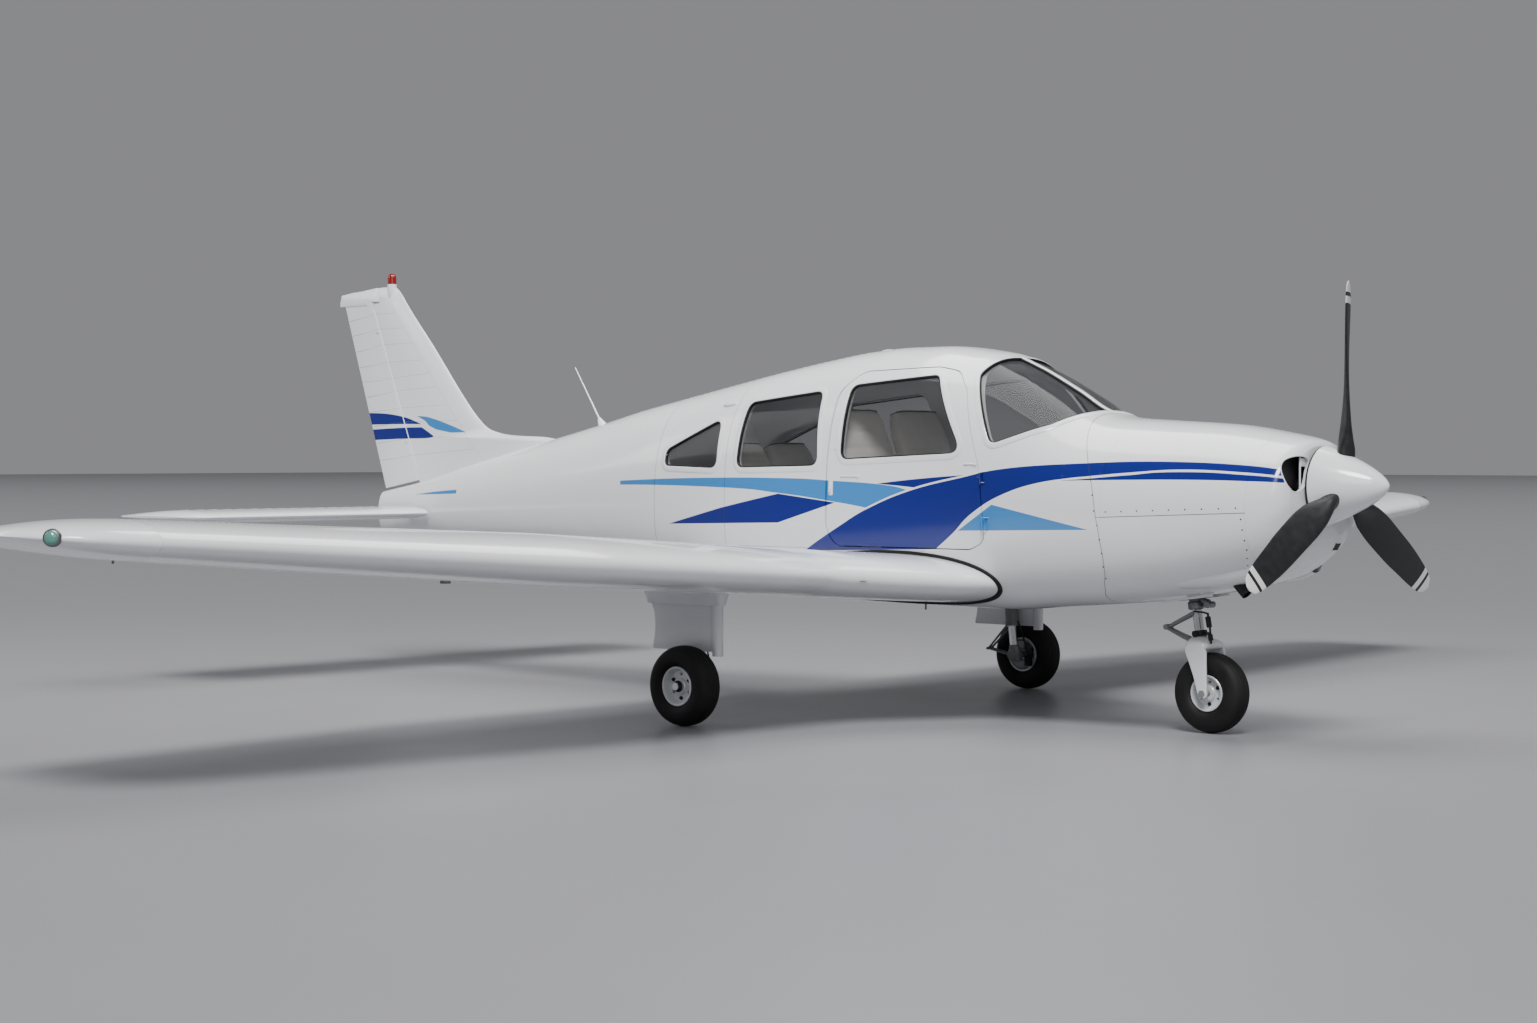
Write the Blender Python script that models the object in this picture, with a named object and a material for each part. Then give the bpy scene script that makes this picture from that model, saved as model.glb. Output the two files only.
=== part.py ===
"""Low-wing light aircraft with a retractable tricycle gear, parked on its wheels.

Metres, +Z up, +X toward the nose, +Y to port. Stations, named s, are metres aft of the
spinner's tip, and the origin is under the middle of the overall length, on the ground.
"""
from math import asin, cos, pi, radians, sin, sqrt, tan

import bmesh
import bpy
from mathutils import Matrix, Vector

# Overall
NOSE_X = 3.785
SEAM = 0.0003
CLEAR = 0.005
RING = 36

# Fuselage stations and walls
BOWL_FRONT, BOWL_SEAM, FIREWALL, BULKHEAD, TAIL_END = 0.345, 0.515, 1.27, 4.30, 7.14
CABIN_WALL, COWL_WALL, TAIL_WALL = 0.035, 0.010, 0.010
FLOOR_Z = 0.72
BOWL_WALL = 0.020

# Cooling inlet in the bowl's face, as |y| and height
INLET = [(0.140, 1.338), (0.215, 1.357), (0.285, 1.342), (0.325, 1.300), (0.330, 1.245), (0.300, 1.200),
         (0.240, 1.186), (0.175, 1.212), (0.148, 1.270)]
# Chin scoops: station, first and last angle round the section, and height over the skin
SCOOP = [(0.520, -67, -48, 0.030), (0.60, -67, -48, 0.032), (0.76, -65, -48, 0.022), (0.95, -61, -50, 0.003)]
SCOOP_FACING, SCOOP_WALL, SCOOP_LIP, SCOOP_MOUTH = 65, 0.006, 2.0, (0.512, 0.58)
NOSE_DOOR, NOSE_DOOR_Y = [(0.905, 0.650), (0.905, 0.687), (1.195, 0.646), (1.195, 0.612)], (0.0755, 0.0815)
COWL_SPLIT_FRONT, COWL_SPLIT_REAR = 1.09, 1.06

TOP_LINE = [(0.345, 1.405), (0.36, 1.425), (0.40, 1.441), (0.526, 1.467), (0.80, 1.508), (1.144, 1.53),
            (1.409, 1.547), (1.547, 1.578), (1.742, 1.687), (1.991, 1.814), (2.214, 1.895), (2.541, 1.932),
            (2.741, 1.932), (2.98, 1.917), (3.26, 1.88), (3.62, 1.822), (3.99, 1.757), (4.376, 1.689),
            (4.733, 1.625), (5.10, 1.546), (5.45, 1.475), (6.17, 1.328), (6.80, 1.188), (7.14, 1.128)]
BOTTOM_LINE = [(0.345, 0.96), (0.36, 0.92), (0.40, 0.86), (0.56, 0.76), (0.95, 0.675), (1.23, 0.636),
               (1.65, 0.60), (2.08, 0.57), (3.00, 0.575), (4.00, 0.64), (5.00, 0.715), (6.00, 0.79),
               (7.14, 0.875)]
HALF_WIDTH = [(0.345, 0.31), (0.36, 0.345), (0.40, 0.385), (0.515, 0.425), (0.80, 0.470), (1.27, 0.510),
              (2.00, 0.555), (2.60, 0.565), (3.30, 0.555), (4.30, 0.460), (5.00, 0.360), (6.00, 0.215),
              (7.14, 0.050)]
WAIST_LINE = [(0.345, 1.16), (0.515, 1.09), (1.27, 1.06), (2.00, 1.08), (3.30, 1.10), (4.30, 1.10),
              (5.50, 1.06), (7.14, 1.010)]
TOP_POWER = [(0.345, 2.2), (1.27, 2.35), (2.00, 2.6), (3.60, 2.6), (5.00, 2.2), (7.14, 2.0)]
BOTTOM_POWER = [(0.345, 2.3), (1.27, 2.8), (2.00, 3.2), (3.60, 3.2), (5.00, 2.5), (7.14, 2.0)]

# Propeller, its axis level along X
PROP_Z, PROP_S = 1.215, 0.235
SPINNER_R, SPINNER_BASE, SPINNER_POWER, SPINNER_SIDES = 0.190, 0.325, 0.62, 30
PROP_R, HUB_R, HUB_SIDES = 0.965, 0.085, 32
FIRST_BLADE = -2.0
SHAFT_R = 0.038

# Wing: the planform's corners as (|y|, leading edge s, trailing edge s)
WING_PLAN = [(0.30, 1.86, 3.90), (0.57, 1.93, 3.90), (0.85, 2.10, 3.90), (1.13, 2.25, 3.90),
             (1.30, 2.30, 3.90), (2.88, 2.30, 3.90), (5.05, 2.515, 3.605), (5.30, 2.58, 3.56),
             (5.44, 2.70, 3.50), (5.50, 2.90, 3.40)]
WING_Z_ROOT, DIHEDRAL = 0.684, 0.066
INCIDENCE = 0.030
WING_DEPTH, WING_CAMBER, BLUNT = 0.150, 0.020, 0.0025
TIP_SEAM = 5.05
FLAP_IN, FLAP_OUT, AILERON_IN, AILERON_OUT = 0.66, 2.861, 2.905, 4.935
HINGE_CHORD, HINGE_PIN_R = 0.80, 0.008
# The surfaces' ends stand square to the ribs, not to the hinge, so they drift sideways as they swing
END_GAP = 0.011
# Flat pad under the main spar, for a jack or a tie-down
PAD_S, PAD_Y, PAD_Z, PAD_R = 2.85, 3.30, 0.790, 0.024

# Tail
FIN_HINGE_LOW, FIN_HINGE_HIGH = (6.797, 1.234), (7.235, 2.294)
STAB_LEAD, STAB_TRAIL, STAB_Z, STAB_ROOT, STAB_SPAN = 6.55, 7.31, 1.0, 0.150, 1.93
STAB_HINGE, TORQUE_TUBE_R = 6.74, 0.029
TAB_HINGE, TAB_SPAN, TAB_NOSE_R, TAB_PIN_R = 7.205, 1.15, 0.0115, 0.005

# Whip antenna on the tail cone, from its foot to its end, as station and height
WHIP, WHIP_FOOT_Z = ((5.143, 1.50), (5.396, 1.883)), 1.578

# Undercarriage
MAIN_S, MAIN_Y, MAIN_R, MAIN_W = 3.125, 1.46, 0.2025, 0.150
AXLE_END = MAIN_Y + 0.070
TYRE_SIDES, RIM_SIDES, TYRE_STEPS = 32, 18, 10
LEG_S, LEG_Y, LEG_LEAN = 3.122, 1.325, 0.10
KNEE_S, KNEE_Z = 3.300, 0.235
# Plate over the well and the fairing at its front, as stations and heights
LEG_PLATE = [(2.955, 0.372), (3.440, 0.372), (3.418, 0.45), (3.424, 0.53), (3.445, 0.60), (3.445, 0.72),
             (2.955, 0.72)]
PLATE_Y, FAIRING_S, FAIRING_R, FAIRING_LOW = (0.030, 0.042), 2.985, 0.028, 0.352
# The collar that meets the wing: height, front and rear station, inner and outer distance from the leg
LEG_COLLAR = [(0.605, 2.940, 3.455, 0.020, 0.075), (0.72, 2.90, 3.49, -0.020, 0.120)]
NOSE_S, NOSE_R, NOSE_W = 0.957, 0.1975, 0.130
STEER_TOP = (1.054, 0.664)
# The fork's legs as station, height and width from the crown down, with their inner and outer |y|
FORK_LEG = [(1.010, 0.440, 0.090), (0.998, 0.400, 0.118), (0.984, 0.345, 0.096), (0.971, 0.285, 0.074),
            (0.961, 0.220, 0.056), (0.957, 0.1975, 0.050), (0.954, 0.177, 0.028)]
FORK_Y, FORK_TOP, NOSE_AXLE = (0.078, 0.094), (0.418, 0.462), 0.100
STEER_LEAN = 0.147

# Door on the starboard side; its hinge leans aft and inboard
DOOR_HINGE = (1.925, -0.578, 0.95)
DOOR_HINGE_DIR = (-0.11, 0.06, 1.0)
HINGE_HEIGHTS, HINGE_R, HINGE_LEAF = (1.02, 1.25), 0.0065, 0.030
BARREL_HALF, KNUCKLE_END = 0.020, 0.036
HANDLE_S, HANDLE_Z, HANDLE_HALF, HANDLE_PROUD = 2.925, (1.165, 1.215), 0.008, 0.014


def hex_colour(r, g, b):
    """Turn an eight-bit colour into the linear values a shader takes."""
    return tuple(pow(c / 255.0, 2.2) for c in (r, g, b)) + (1.0,)


FINISHES = {
    "paint": (hex_colour(236, 237, 240), 0.25, 0.0),
    "glass": (hex_colour(60, 66, 74), 0.08, 0.0),
    "metal": (hex_colour(175, 178, 182), 0.35, 1.0),
    "rubber": (hex_colour(26, 26, 27), 0.85, 0.0),
    "blade": (hex_colour(28, 29, 31), 0.45, 0.0),
    "leather": (hex_colour(196, 190, 178), 0.65, 0.0),
    "dark": (hex_colour(44, 45, 48), 0.70, 0.0),
    "casting": (hex_colour(96, 98, 100), 0.60, 0.6),
    "beacon": (hex_colour(190, 24, 28), 0.20, 0.0),
}


def clear_scene():
    for old in list(bpy.data.objects):
        bpy.data.objects.remove(old, do_unlink=True)


def material(name, finish):
    colour, roughness, metallic = FINISHES[finish]
    made = bpy.data.materials.new(name)
    made.use_nodes = True
    shader = made.node_tree.nodes["Principled BSDF"]
    shader.inputs["Base Color"].default_value = colour
    shader.inputs["Roughness"].default_value = roughness
    shader.inputs["Metallic"].default_value = metallic
    made.diffuse_color = colour
    return made


def place(name, mesh_data, finish=None, origin=None, sharp=35):
    """Make an object, with its origin moved to a point such as one on its joint's axis."""
    made = bpy.data.objects.new(name, mesh_data)
    bpy.context.scene.collection.objects.link(made)
    if origin is not None:
        mesh_data.transform(Matrix.Translation(-Vector(origin)))
        made.location = Vector(origin)
    if finish is None:
        made.hide_render = True
        made.display_type = "WIRE"
    else:
        mesh_data.materials.append(material(name, finish))
        mesh_data.shade_smooth()
        mesh_data.set_sharp_from_angle(angle=radians(sharp))
    return made


def mesh_from(bm, name):
    bmesh.ops.recalc_face_normals(bm, faces=bm.faces)
    made = bpy.data.meshes.new(name)
    bm.to_mesh(made)
    bm.free()
    return made


def add_loft(bm, rings, start=True, end=True):
    """Skin a row of closed rings with equal counts, and cap its ends."""
    rows = [[bm.verts.new(p) for p in ring] for ring in rings]
    count = len(rows[0])
    for a, b in zip(rows, rows[1:]):
        for i in range(count):
            j = (i + 1) % count
            bm.faces.new((a[i], a[j], b[j], b[i]))
    if start:
        bm.faces.new(rows[0])
    if end:
        bm.faces.new(list(reversed(rows[-1])))
    return rows


def loft(name, rings, finish=None, origin=None, sharp=35):
    bm = bmesh.new()
    add_loft(bm, rings)
    return place(name, mesh_from(bm, name), finish, origin, sharp)


def cup(name, outer, inner, finish, sharp=35):
    """A hollow piece, open at the first rings and closed at the last ones."""
    bm = bmesh.new()
    outside = add_loft(bm, outer, start=False)
    inside = add_loft(bm, inner, start=False)
    count = len(outside[0])
    for i in range(count):
        j = (i + 1) % count
        bm.faces.new((outside[0][i], outside[0][j], inside[0][j], inside[0][i]))
    return place(name, mesh_from(bm, name), finish, None, sharp)


def boolean(target, operation, other):
    """Cut, join or keep with another object, which becomes a hidden guide."""
    step = target.modifiers.new(operation.title() + " " + other.name, "BOOLEAN")
    step.operation = operation
    step.solver = "EXACT"
    step.object = other
    other.hide_render = True
    other.display_type = "WIRE"
    return step


def basis(direction):
    """A matrix whose Z runs along a direction."""
    return Vector(direction).normalized().to_track_quat("Z", "Y").to_matrix().to_4x4()


def add_rod(bm, start, end, r_start, r_end=None, sides=20):
    start, end = Vector(start), Vector(end)
    r_end = r_start if r_end is None else r_end
    turn = basis(end - start)
    rings = []
    for centre, r in ((start, r_start), (end, r_end)):
        rings.append([centre + turn @ Vector((r * cos(2 * pi * i / sides), r * sin(2 * pi * i / sides), 0))
                      for i in range(sides)])
    add_loft(bm, rings)


def rod(name, start, end, r_start, r_end=None, finish=None, sides=20):
    bm = bmesh.new()
    add_rod(bm, start, end, r_start, r_end, sides)
    return place(name, mesh_from(bm, name), finish)


def box(name, low, high, finish=None):
    bm = bmesh.new()
    ring = [(low[0], low[1]), (high[0], low[1]), (high[0], high[1]), (low[0], high[1])]
    add_loft(bm, [[Vector((x, y, z)) for x, y in ring] for z in (low[2], high[2])])
    return place(name, mesh_from(bm, name), finish)


def turned(name, centre, axis, profile, finish=None, sides=36, origin=None, sharp=35,
           start=0.0):
    """Spin a closed profile of (radius, height) pairs about an axis."""
    turn = Matrix.Translation(Vector(centre)) @ basis(axis) @ Matrix.Rotation(start, 4, "Z")
    bm = bmesh.new()
    rows = []
    for r, h in profile:
        if r < 1e-6:
            rows.append([bm.verts.new(turn @ Vector((0, 0, h)))])
            continue
        angles = [2 * pi * i / sides for i in range(sides)]
        rows.append([bm.verts.new(turn @ Vector((r * cos(a), r * sin(a), h))) for a in angles])
    pairs = list(zip(rows, rows[1:]))
    if profile[0][0] > 1e-6:
        pairs.append((rows[-1], rows[0]))
    for a, b in pairs:
        for i in range(sides):
            j = (i + 1) % sides
            if len(a) == 1:
                bm.faces.new((a[0], b[j], b[i]))
            elif len(b) == 1:
                bm.faces.new((a[i], a[j], b[0]))
            else:
                bm.faces.new((a[i], a[j], b[j], b[i]))
    return place(name, mesh_from(bm, name), finish, origin, sharp)


def curve(points):
    """A smooth function through points that never overshoots them."""
    xs = [p[0] for p in points]
    ys = [p[1] for p in points]
    slopes = [(ys[i + 1] - ys[i]) / (xs[i + 1] - xs[i]) for i in range(len(xs) - 1)]
    tangents = [slopes[0]]
    for a, b in zip(slopes, slopes[1:]):
        tangents.append(0.0 if a * b <= 0 else 2 * a * b / (a + b))
    tangents.append(slopes[-1])

    def value(x):
        x = min(max(x, xs[0]), xs[-1])
        i = max(k for k in range(len(xs) - 1) if xs[k] <= x)
        width = xs[i + 1] - xs[i]
        t = (x - xs[i]) / width
        return ((1 + 2 * t) * (1 - t) ** 2 * ys[i] + t * (1 - t) ** 2 * width * tangents[i]
                + t * t * (3 - 2 * t) * ys[i + 1] + t * t * (t - 1) * width * tangents[i + 1])
    return value


top_at, bottom_at, half_at = curve(TOP_LINE), curve(BOTTOM_LINE), curve(HALF_WIDTH)
waist_at, top_power, bottom_power = curve(WAIST_LINE), curve(TOP_POWER), curve(BOTTOM_POWER)


def point(s, y, z):
    return Vector((NOSE_X - s, y, z))


def section(s, inset=0.0, start=0.0, stop=2 * pi, count=RING, floor=None):
    """Points round the fuselage at station s, from port over the top, drawn in by the inset."""
    waist = waist_at(s)
    half, top, bottom = half_at(s) - inset, top_at(s) - inset, bottom_at(s) + inset
    closed = abs(stop - start - 2 * pi) < 1e-6
    steps = count if closed else count - 1
    made = []
    for i in range(count):
        angle = start + (stop - start) * i / steps
        c, q = cos(angle), sin(angle)
        power = top_power(s) if q >= 0 else bottom_power(s)
        reach = (top - waist) if q >= 0 else (waist - bottom)
        y = half * (1 if c >= 0 else -1) * abs(c) ** (2 / power)
        z = waist + reach * (1 if q >= 0 else -1) * abs(q) ** (2 / power)
        made.append(point(s, y, z if floor is None else max(z, floor)))
    return made


def stations(first, last, marks):
    return [first] + [m for m in marks if first + 0.01 < m < last - 0.01] + [last]


CABIN_MARKS = [1.41, 1.50, 1.56, 1.64, 1.74, 1.87, 2.00, 2.12, 2.25, 2.45, 2.74, 3.0, 3.3, 3.6, 3.95]
TAIL_MARKS = [4.65, 5.0, 5.4, 5.8, 6.2, 6.6, 6.9]


def hull(name, first, last, inset, marks, floor=None):
    """A solid of the fuselage's shape, as a guide for cutting."""
    return loft(name, [section(s, inset, floor=floor) for s in stations(first, last, marks)])


def rounded(corners, radius, steps=4):
    """Round the corners of a polygon of 2D points."""
    made = []
    count = len(corners)
    for i, corner in enumerate(corners):
        here = Vector(corner)
        before = (Vector(corners[i - 1]) - here)
        after = (Vector(corners[(i + 1) % count]) - here)
        half_angle = before.angle(after) / 2
        reach = min(radius / tan(half_angle), before.length * 0.45, after.length * 0.45)
        first, last = here + before.normalized() * reach, here + after.normalized() * reach
        for k in range(steps + 1):
            t = k / steps
            made.append(first * (1 - t) ** 2 + here * 2 * t * (1 - t) + last * t * t)
    return made


def inset_polygon(corners, gap):
    """Move each side of a convex polygon in by a gap."""
    centre = sum((Vector(c) for c in corners), Vector((0, 0))) / len(corners)
    gaps = gap if isinstance(gap, list) else [gap] * len(corners)
    lines = []
    for i, corner in enumerate(corners):
        a, b = Vector(corner), Vector(corners[(i + 1) % len(corners)])
        along = (b - a).normalized()
        inward = Vector((-along.y, along.x))
        if inward.dot(centre - a) < 0:
            inward = -inward
        lines.append((a + inward * gaps[i], along))
    made = []
    for i in range(len(lines)):
        (p, u), (q, v) = lines[i - 1], lines[i]
        cross = u.x * v.y - u.y * v.x
        t = ((q.x - p.x) * v.y - (q.y - p.y) * v.x) / cross
        made.append(tuple(p + u * t))
    return made


def side_prism(name, corners, radius, near, far, side):
    """A prism across the fuselage, with its outline given as stations and heights."""
    outline = rounded(corners, radius)
    return loft(name, [[point(p[0], side * y, p[1]) for p in outline] for y in (near, far)])


# Window outlines as stations and heights on the fuselage's side
WINDOWS = {
    "rear": [(4.145, 1.312), (3.78, 1.298), (3.80, 1.548), (4.15, 1.440)],
    "middle": [(3.60, 1.298), (3.04, 1.310), (3.10, 1.690), (3.60, 1.632)],
    "front": [(2.85, 1.337), (2.13, 1.367), (2.305, 1.745), (2.87, 1.705)],
}
WINDSHIELD = [(1.512, 1.610), (1.640, 1.508), (1.800, 1.450), (1.925, 1.408), (2.115, 1.770), (2.060, 2.10),
              (1.512, 2.10)]
WINDOW_RADIUS = 0.07
GLASS_DEPTH, GLASS_THICK, POST_HALF = 0.008, 0.006, 0.016


def window_pane(name, corners, radius, near, side):
    """Glass let into an opening, following the fuselage's shape."""
    pane = side_prism(name, inset_polygon(corners, SEAM), radius, near, 0.75, side)
    pane.hide_render = False
    pane.display_type = "TEXTURED"
    pane.data.materials.append(material(name, "glass"))
    pane.data.shade_smooth()
    pane.data.set_sharp_from_angle(angle=radians(35))
    return pane


def fuselage_guides():
    first, last = FIREWALL - 0.2, BULKHEAD + 0.2
    return {
        "skin": hull("guide_skin", first, last, 0.0, CABIN_MARKS),
        "pane_outer": hull("guide_pane_outer", first, last, GLASS_DEPTH, CABIN_MARKS),
        "pane_inner": hull("guide_pane_inner", first, last, GLASS_DEPTH + GLASS_THICK, CABIN_MARKS),
        "cabin": hull("guide_cabin", FIREWALL + CABIN_WALL, BULKHEAD - CABIN_WALL, CABIN_WALL,
                      CABIN_MARKS, FLOOR_Z),
        "seat_skin": hull("guide_seat_skin", first, last, -SEAM * 2, CABIN_MARKS),
    }


# The door's outline on the skin, as stations and heights; its rear side needs a wider gap to swing clear
DOOR_OUTLINE = [(1.930, 0.93), (1.967, 1.283), (2.13, 1.685), (2.225, 1.79), (2.36, 1.815), (2.84, 1.80),
                (2.955, 1.70), (2.965, 0.98), (2.90, 0.885), (2.02, 0.885)]
DOOR_REAR_SIDE, DOOR_REAR_EXTRA = 6, 0.005


def skin_half(s, z):
    """Half width of the fuselage at a station and height."""
    waist = waist_at(s)
    if z >= waist:
        reach, power = top_at(s) - waist, top_power(s)
    else:
        reach, power = waist - bottom_at(s), bottom_power(s)
    return half_at(s) * (1 - min(abs((z - waist) / reach), 1) ** power) ** (1 / power)


def door_prism(name, gap, finish=None):
    """A prism square to the hinge, so that the door's edges slide along the frame's."""
    up = Vector(DOOR_HINGE_DIR).normalized()
    aft = (Vector((-1, 0, 0)) - up * Vector((-1, 0, 0)).dot(up)).normalized()
    out = up.cross(aft)
    if out.y > 0:
        out = -out
    start = point(*DOOR_HINGE)
    gaps = [gap] * len(DOOR_OUTLINE)
    if gap > 0:
        gaps[DOOR_REAR_SIDE] = gap + DOOR_REAR_EXTRA
    marks = [point(s, -skin_half(s, z), z) - start for s, z in DOOR_OUTLINE]
    corners = inset_polygon([(mark.dot(aft), mark.dot(up)) for mark in marks], gaps)
    outline = rounded(corners, 0.05, 3)
    rings = [[start + aft * p[0] + up * p[1] + out * d for p in outline] for d in (-0.30, 0.12)]
    return loft(name, rings, finish)


def build_cabin(guides):
    body = loft("fuselage", [section(s) for s in stations(FIREWALL + SEAM, BULKHEAD, CABIN_MARKS)], "paint")
    boolean(body, "DIFFERENCE", guides["cabin"])
    for side, label in ((1, "left"), (-1, "right")):
        pane_cut = side_prism("guide_windshield_" + label, WINDSHIELD, 0.05, POST_HALF, 0.75, side)
        boolean(body, "DIFFERENCE", pane_cut)
        shield = window_pane("windshield_" + label, WINDSHIELD, 0.05, POST_HALF + SEAM, side)
        boolean(shield, "INTERSECT", guides["pane_outer"])
        boolean(shield, "DIFFERENCE", guides["pane_inner"])
        for spot, corners in WINDOWS.items():
            if spot == "front" and side < 0:
                continue
            cut = side_prism("guide_window_%s_%s" % (label, spot), corners, WINDOW_RADIUS, 0.25, 0.75, side)
            boolean(body, "DIFFERENCE", cut)
            pane = window_pane("window_%s_%s" % (label, spot), corners, WINDOW_RADIUS, 0.25, side)
            boolean(pane, "INTERSECT", guides["pane_outer"])
            boolean(pane, "DIFFERENCE", guides["pane_inner"])
    boolean(body, "DIFFERENCE", door_prism("guide_doorway", 0.0))
    return body


def build_hinges(body, door):
    """Two hinges proud of the skin: a barrel on the door between two knuckles on the fuselage."""
    up = Vector(DOOR_HINGE_DIR).normalized()
    base = point(*DOOR_HINGE)
    for k, height in enumerate(HINGE_HEIGHTS):
        middle = base + up * (height - DOOR_HINGE[2]) / up.z
        seat_z = middle.z
        aft_s, fore_s = NOSE_X - middle.x + HINGE_LEAF, NOSE_X - middle.x - HINGE_LEAF
        depth = Vector((0, 0.006, 0))
        barrel = up * BARREL_HALF
        boolean(door, "UNION", rod("guide_barrel_%d" % k, middle - barrel, middle + barrel, HINGE_R,
                                   sides=12))
        leaf = point(aft_s, -skin_half(aft_s, seat_z), seat_z) + depth
        boolean(door, "UNION", rod("guide_door_leaf_%d" % k, middle - Vector((0, 0.004, 0)), leaf, 0.005,
                                   sides=10))
        for end in (-1, 1):
            near, far = middle + up * end * (BARREL_HALF + SEAM), middle + up * end * KNUCKLE_END
            name = "%d_%d" % (k, end)
            boolean(body, "UNION", rod("guide_knuckle_" + name, near, far, HINGE_R, sides=12))
            spot = middle + up * end * (BARREL_HALF + KNUCKLE_END) / 2
            leaf = point(fore_s, -skin_half(fore_s, spot.z), spot.z) + depth
            boolean(body, "UNION", rod("guide_body_leaf_" + name, spot, leaf, 0.006, sides=10))


def build_door(guides):
    door = door_prism("cabin_door", CLEAR, "paint")
    boolean(door, "INTERSECT", guides["skin"])
    boolean(door, "DIFFERENCE", guides["cabin"])
    opening = side_prism("guide_door_window", WINDOWS["front"], WINDOW_RADIUS, 0.25, 0.75, -1)
    boolean(door, "DIFFERENCE", opening)
    pane = window_pane("door_window", WINDOWS["front"], WINDOW_RADIUS, 0.25, -1)
    boolean(pane, "INTERSECT", guides["pane_outer"])
    boolean(pane, "DIFFERENCE", guides["pane_inner"])
    low, high = HANDLE_Z
    skin = skin_half(HANDLE_S, (low + high) / 2)
    handle = box("guide_door_handle", (NOSE_X - HANDLE_S - HANDLE_HALF, -skin - HANDLE_PROUD, low),
                 (NOSE_X - HANDLE_S + HANDLE_HALF, -skin + HANDLE_PROUD, high))
    boolean(door, "UNION", handle)
    return door


def whip_at(z):
    """A point on the whip antenna's line."""
    (s0, z0), (s1, z1) = WHIP
    return point(s0 + (s1 - s0) * (z - z0) / (z1 - z0), 0, z)


def build_tailcone():
    outer = [section(s) for s in stations(BULKHEAD + SEAM, TAIL_END, TAIL_MARKS)]
    inner = [section(s, TAIL_WALL) for s in stations(BULKHEAD + SEAM, TAIL_END - 0.03, TAIL_MARKS)]
    whip_foot = rod("guide_whip_foot", whip_at(1.53), whip_at(WHIP_FOOT_Z), 0.030, 0.010, sides=16)
    cone = cup("tailcone", outer, inner, "paint")
    bore = rod("guide_torque_bore", point(STAB_HINGE, -0.4, STAB_Z), point(STAB_HINGE, 0.4, STAB_Z),
               (TORQUE_TUBE_R + SEAM) / cos(pi / 20))
    boolean(cone, "DIFFERENCE", bore)
    boolean(cone, "UNION", whip_foot)
    return cone


def cowl_shell(name, upper):
    """Half of the cowling, a bent sheet between the nose bowl and the firewall."""
    rings = []
    for s in (BOWL_SEAM + SEAM, 0.66, 0.82, 1.0, 1.14, FIREWALL - SEAM):
        share = (s - BOWL_SEAM) / (FIREWALL - BOWL_SEAM)
        split = COWL_SPLIT_FRONT + (COWL_SPLIT_REAR - COWL_SPLIT_FRONT) * share
        lift = split - waist_at(s) + (SEAM / 2 if upper else -SEAM / 2)
        arcs = []
        for inset in (0.0, COWL_WALL):
            reach = (top_at(s) if lift > 0 else bottom_at(s)) - waist_at(s)
            power = top_power(s) if lift > 0 else bottom_power(s)
            edge = asin(min(abs(lift / (abs(reach) - inset)) ** (power / 2), 0.99)) * (1 if lift > 0 else -1)
            first, last = (edge, pi - edge) if upper else (pi - edge, 2 * pi + edge)
            arcs.append(section(s, inset, first, last, 20))
        rings.append(arcs[0] + list(reversed(arcs[1])))
    return loft(name, rings, "paint")


def scoop_ring(s, first, last, height, side, wall=0.0):
    """A slice of a chin scoop, an arch on the cowl's wall; a wall gives the hollow inside it."""
    draw = radians(SCOOP_LIP) if wall else 0.0
    start, stop = radians(first) + draw, radians(last) - draw
    foot = section(s, 0.0, start, stop, 9)
    base = section(s, -wall / 4 if wall else COWL_WALL / 2, start, stop, 9)
    out = Vector((0, cos(radians(SCOOP_FACING)), -sin(radians(SCOOP_FACING))))
    arch = [p + out * (height - wall) * sin(pi * i / 8) ** 0.6 for i, p in enumerate(foot)]
    ring = (arch[1:-1] if wall else arch) + list(reversed(base))
    return [Vector((p.x, side * p.y, p.z)) for p in ring]


def add_cowl_details(lower):
    """Chin scoops with open mouths, and the doors that hang beside the nose gear's well."""
    for side in (1, -1):
        scoop = loft("guide_scoop_%d" % side, [scoop_ring(*row, side) for row in SCOOP])
        boolean(lower, "UNION", scoop)
        front = SCOOP[0]
        rings = [scoop_ring(s, front[1], front[2], front[3], side, SCOOP_WALL) for s in SCOOP_MOUTH]
        boolean(lower, "DIFFERENCE", loft("guide_scoop_mouth_%d" % side, rings))
        rings = [[point(s, side * y, z) for s, z in NOSE_DOOR] for y in NOSE_DOOR_Y]
        boolean(lower, "UNION", loft("guide_nose_door_%d" % side, rings))


def build_cowling():
    cowl_shell("cowl_top", True)
    lower = cowl_shell("cowl_bottom", False)
    well = side_prism("guide_nose_well", [(0.90, 0.5), (1.20, 0.5), (1.20, 0.75), (0.90, 0.75)], 0.02,
                      -0.075, 0.075, 1)
    boolean(lower, "DIFFERENCE", well)
    add_cowl_details(lower)
    outlet = rod("guide_exhaust_hole", point(0.58, -0.17, 0.62), point(0.84, -0.17, 0.88), 0.040)
    boolean(lower, "DIFFERENCE", outlet)
    marks = [BOWL_SEAM, 0.46, 0.42, 0.39, 0.365, BOWL_FRONT]
    outer = [section(s) for s in marks]
    inner = [section(s, BOWL_WALL) for s in (BOWL_SEAM, 0.46, 0.42, 0.39, 0.372)]
    bowl = cup("nose_bowl", outer, inner, "paint")
    for side, label in ((1, "left"), (-1, "right")):
        inlet = loft("guide_inlet_" + label, [[point(s, side * y, z) for y, z in rounded(INLET, 0.05, 3)]
                                              for s in (0.30, 0.45)])
        boolean(bowl, "DIFFERENCE", inlet)
    boolean(bowl, "DIFFERENCE", rod("guide_shaft_hole", point(0.3, 0, PROP_Z), point(0.45, 0, PROP_Z), 0.07))


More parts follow.
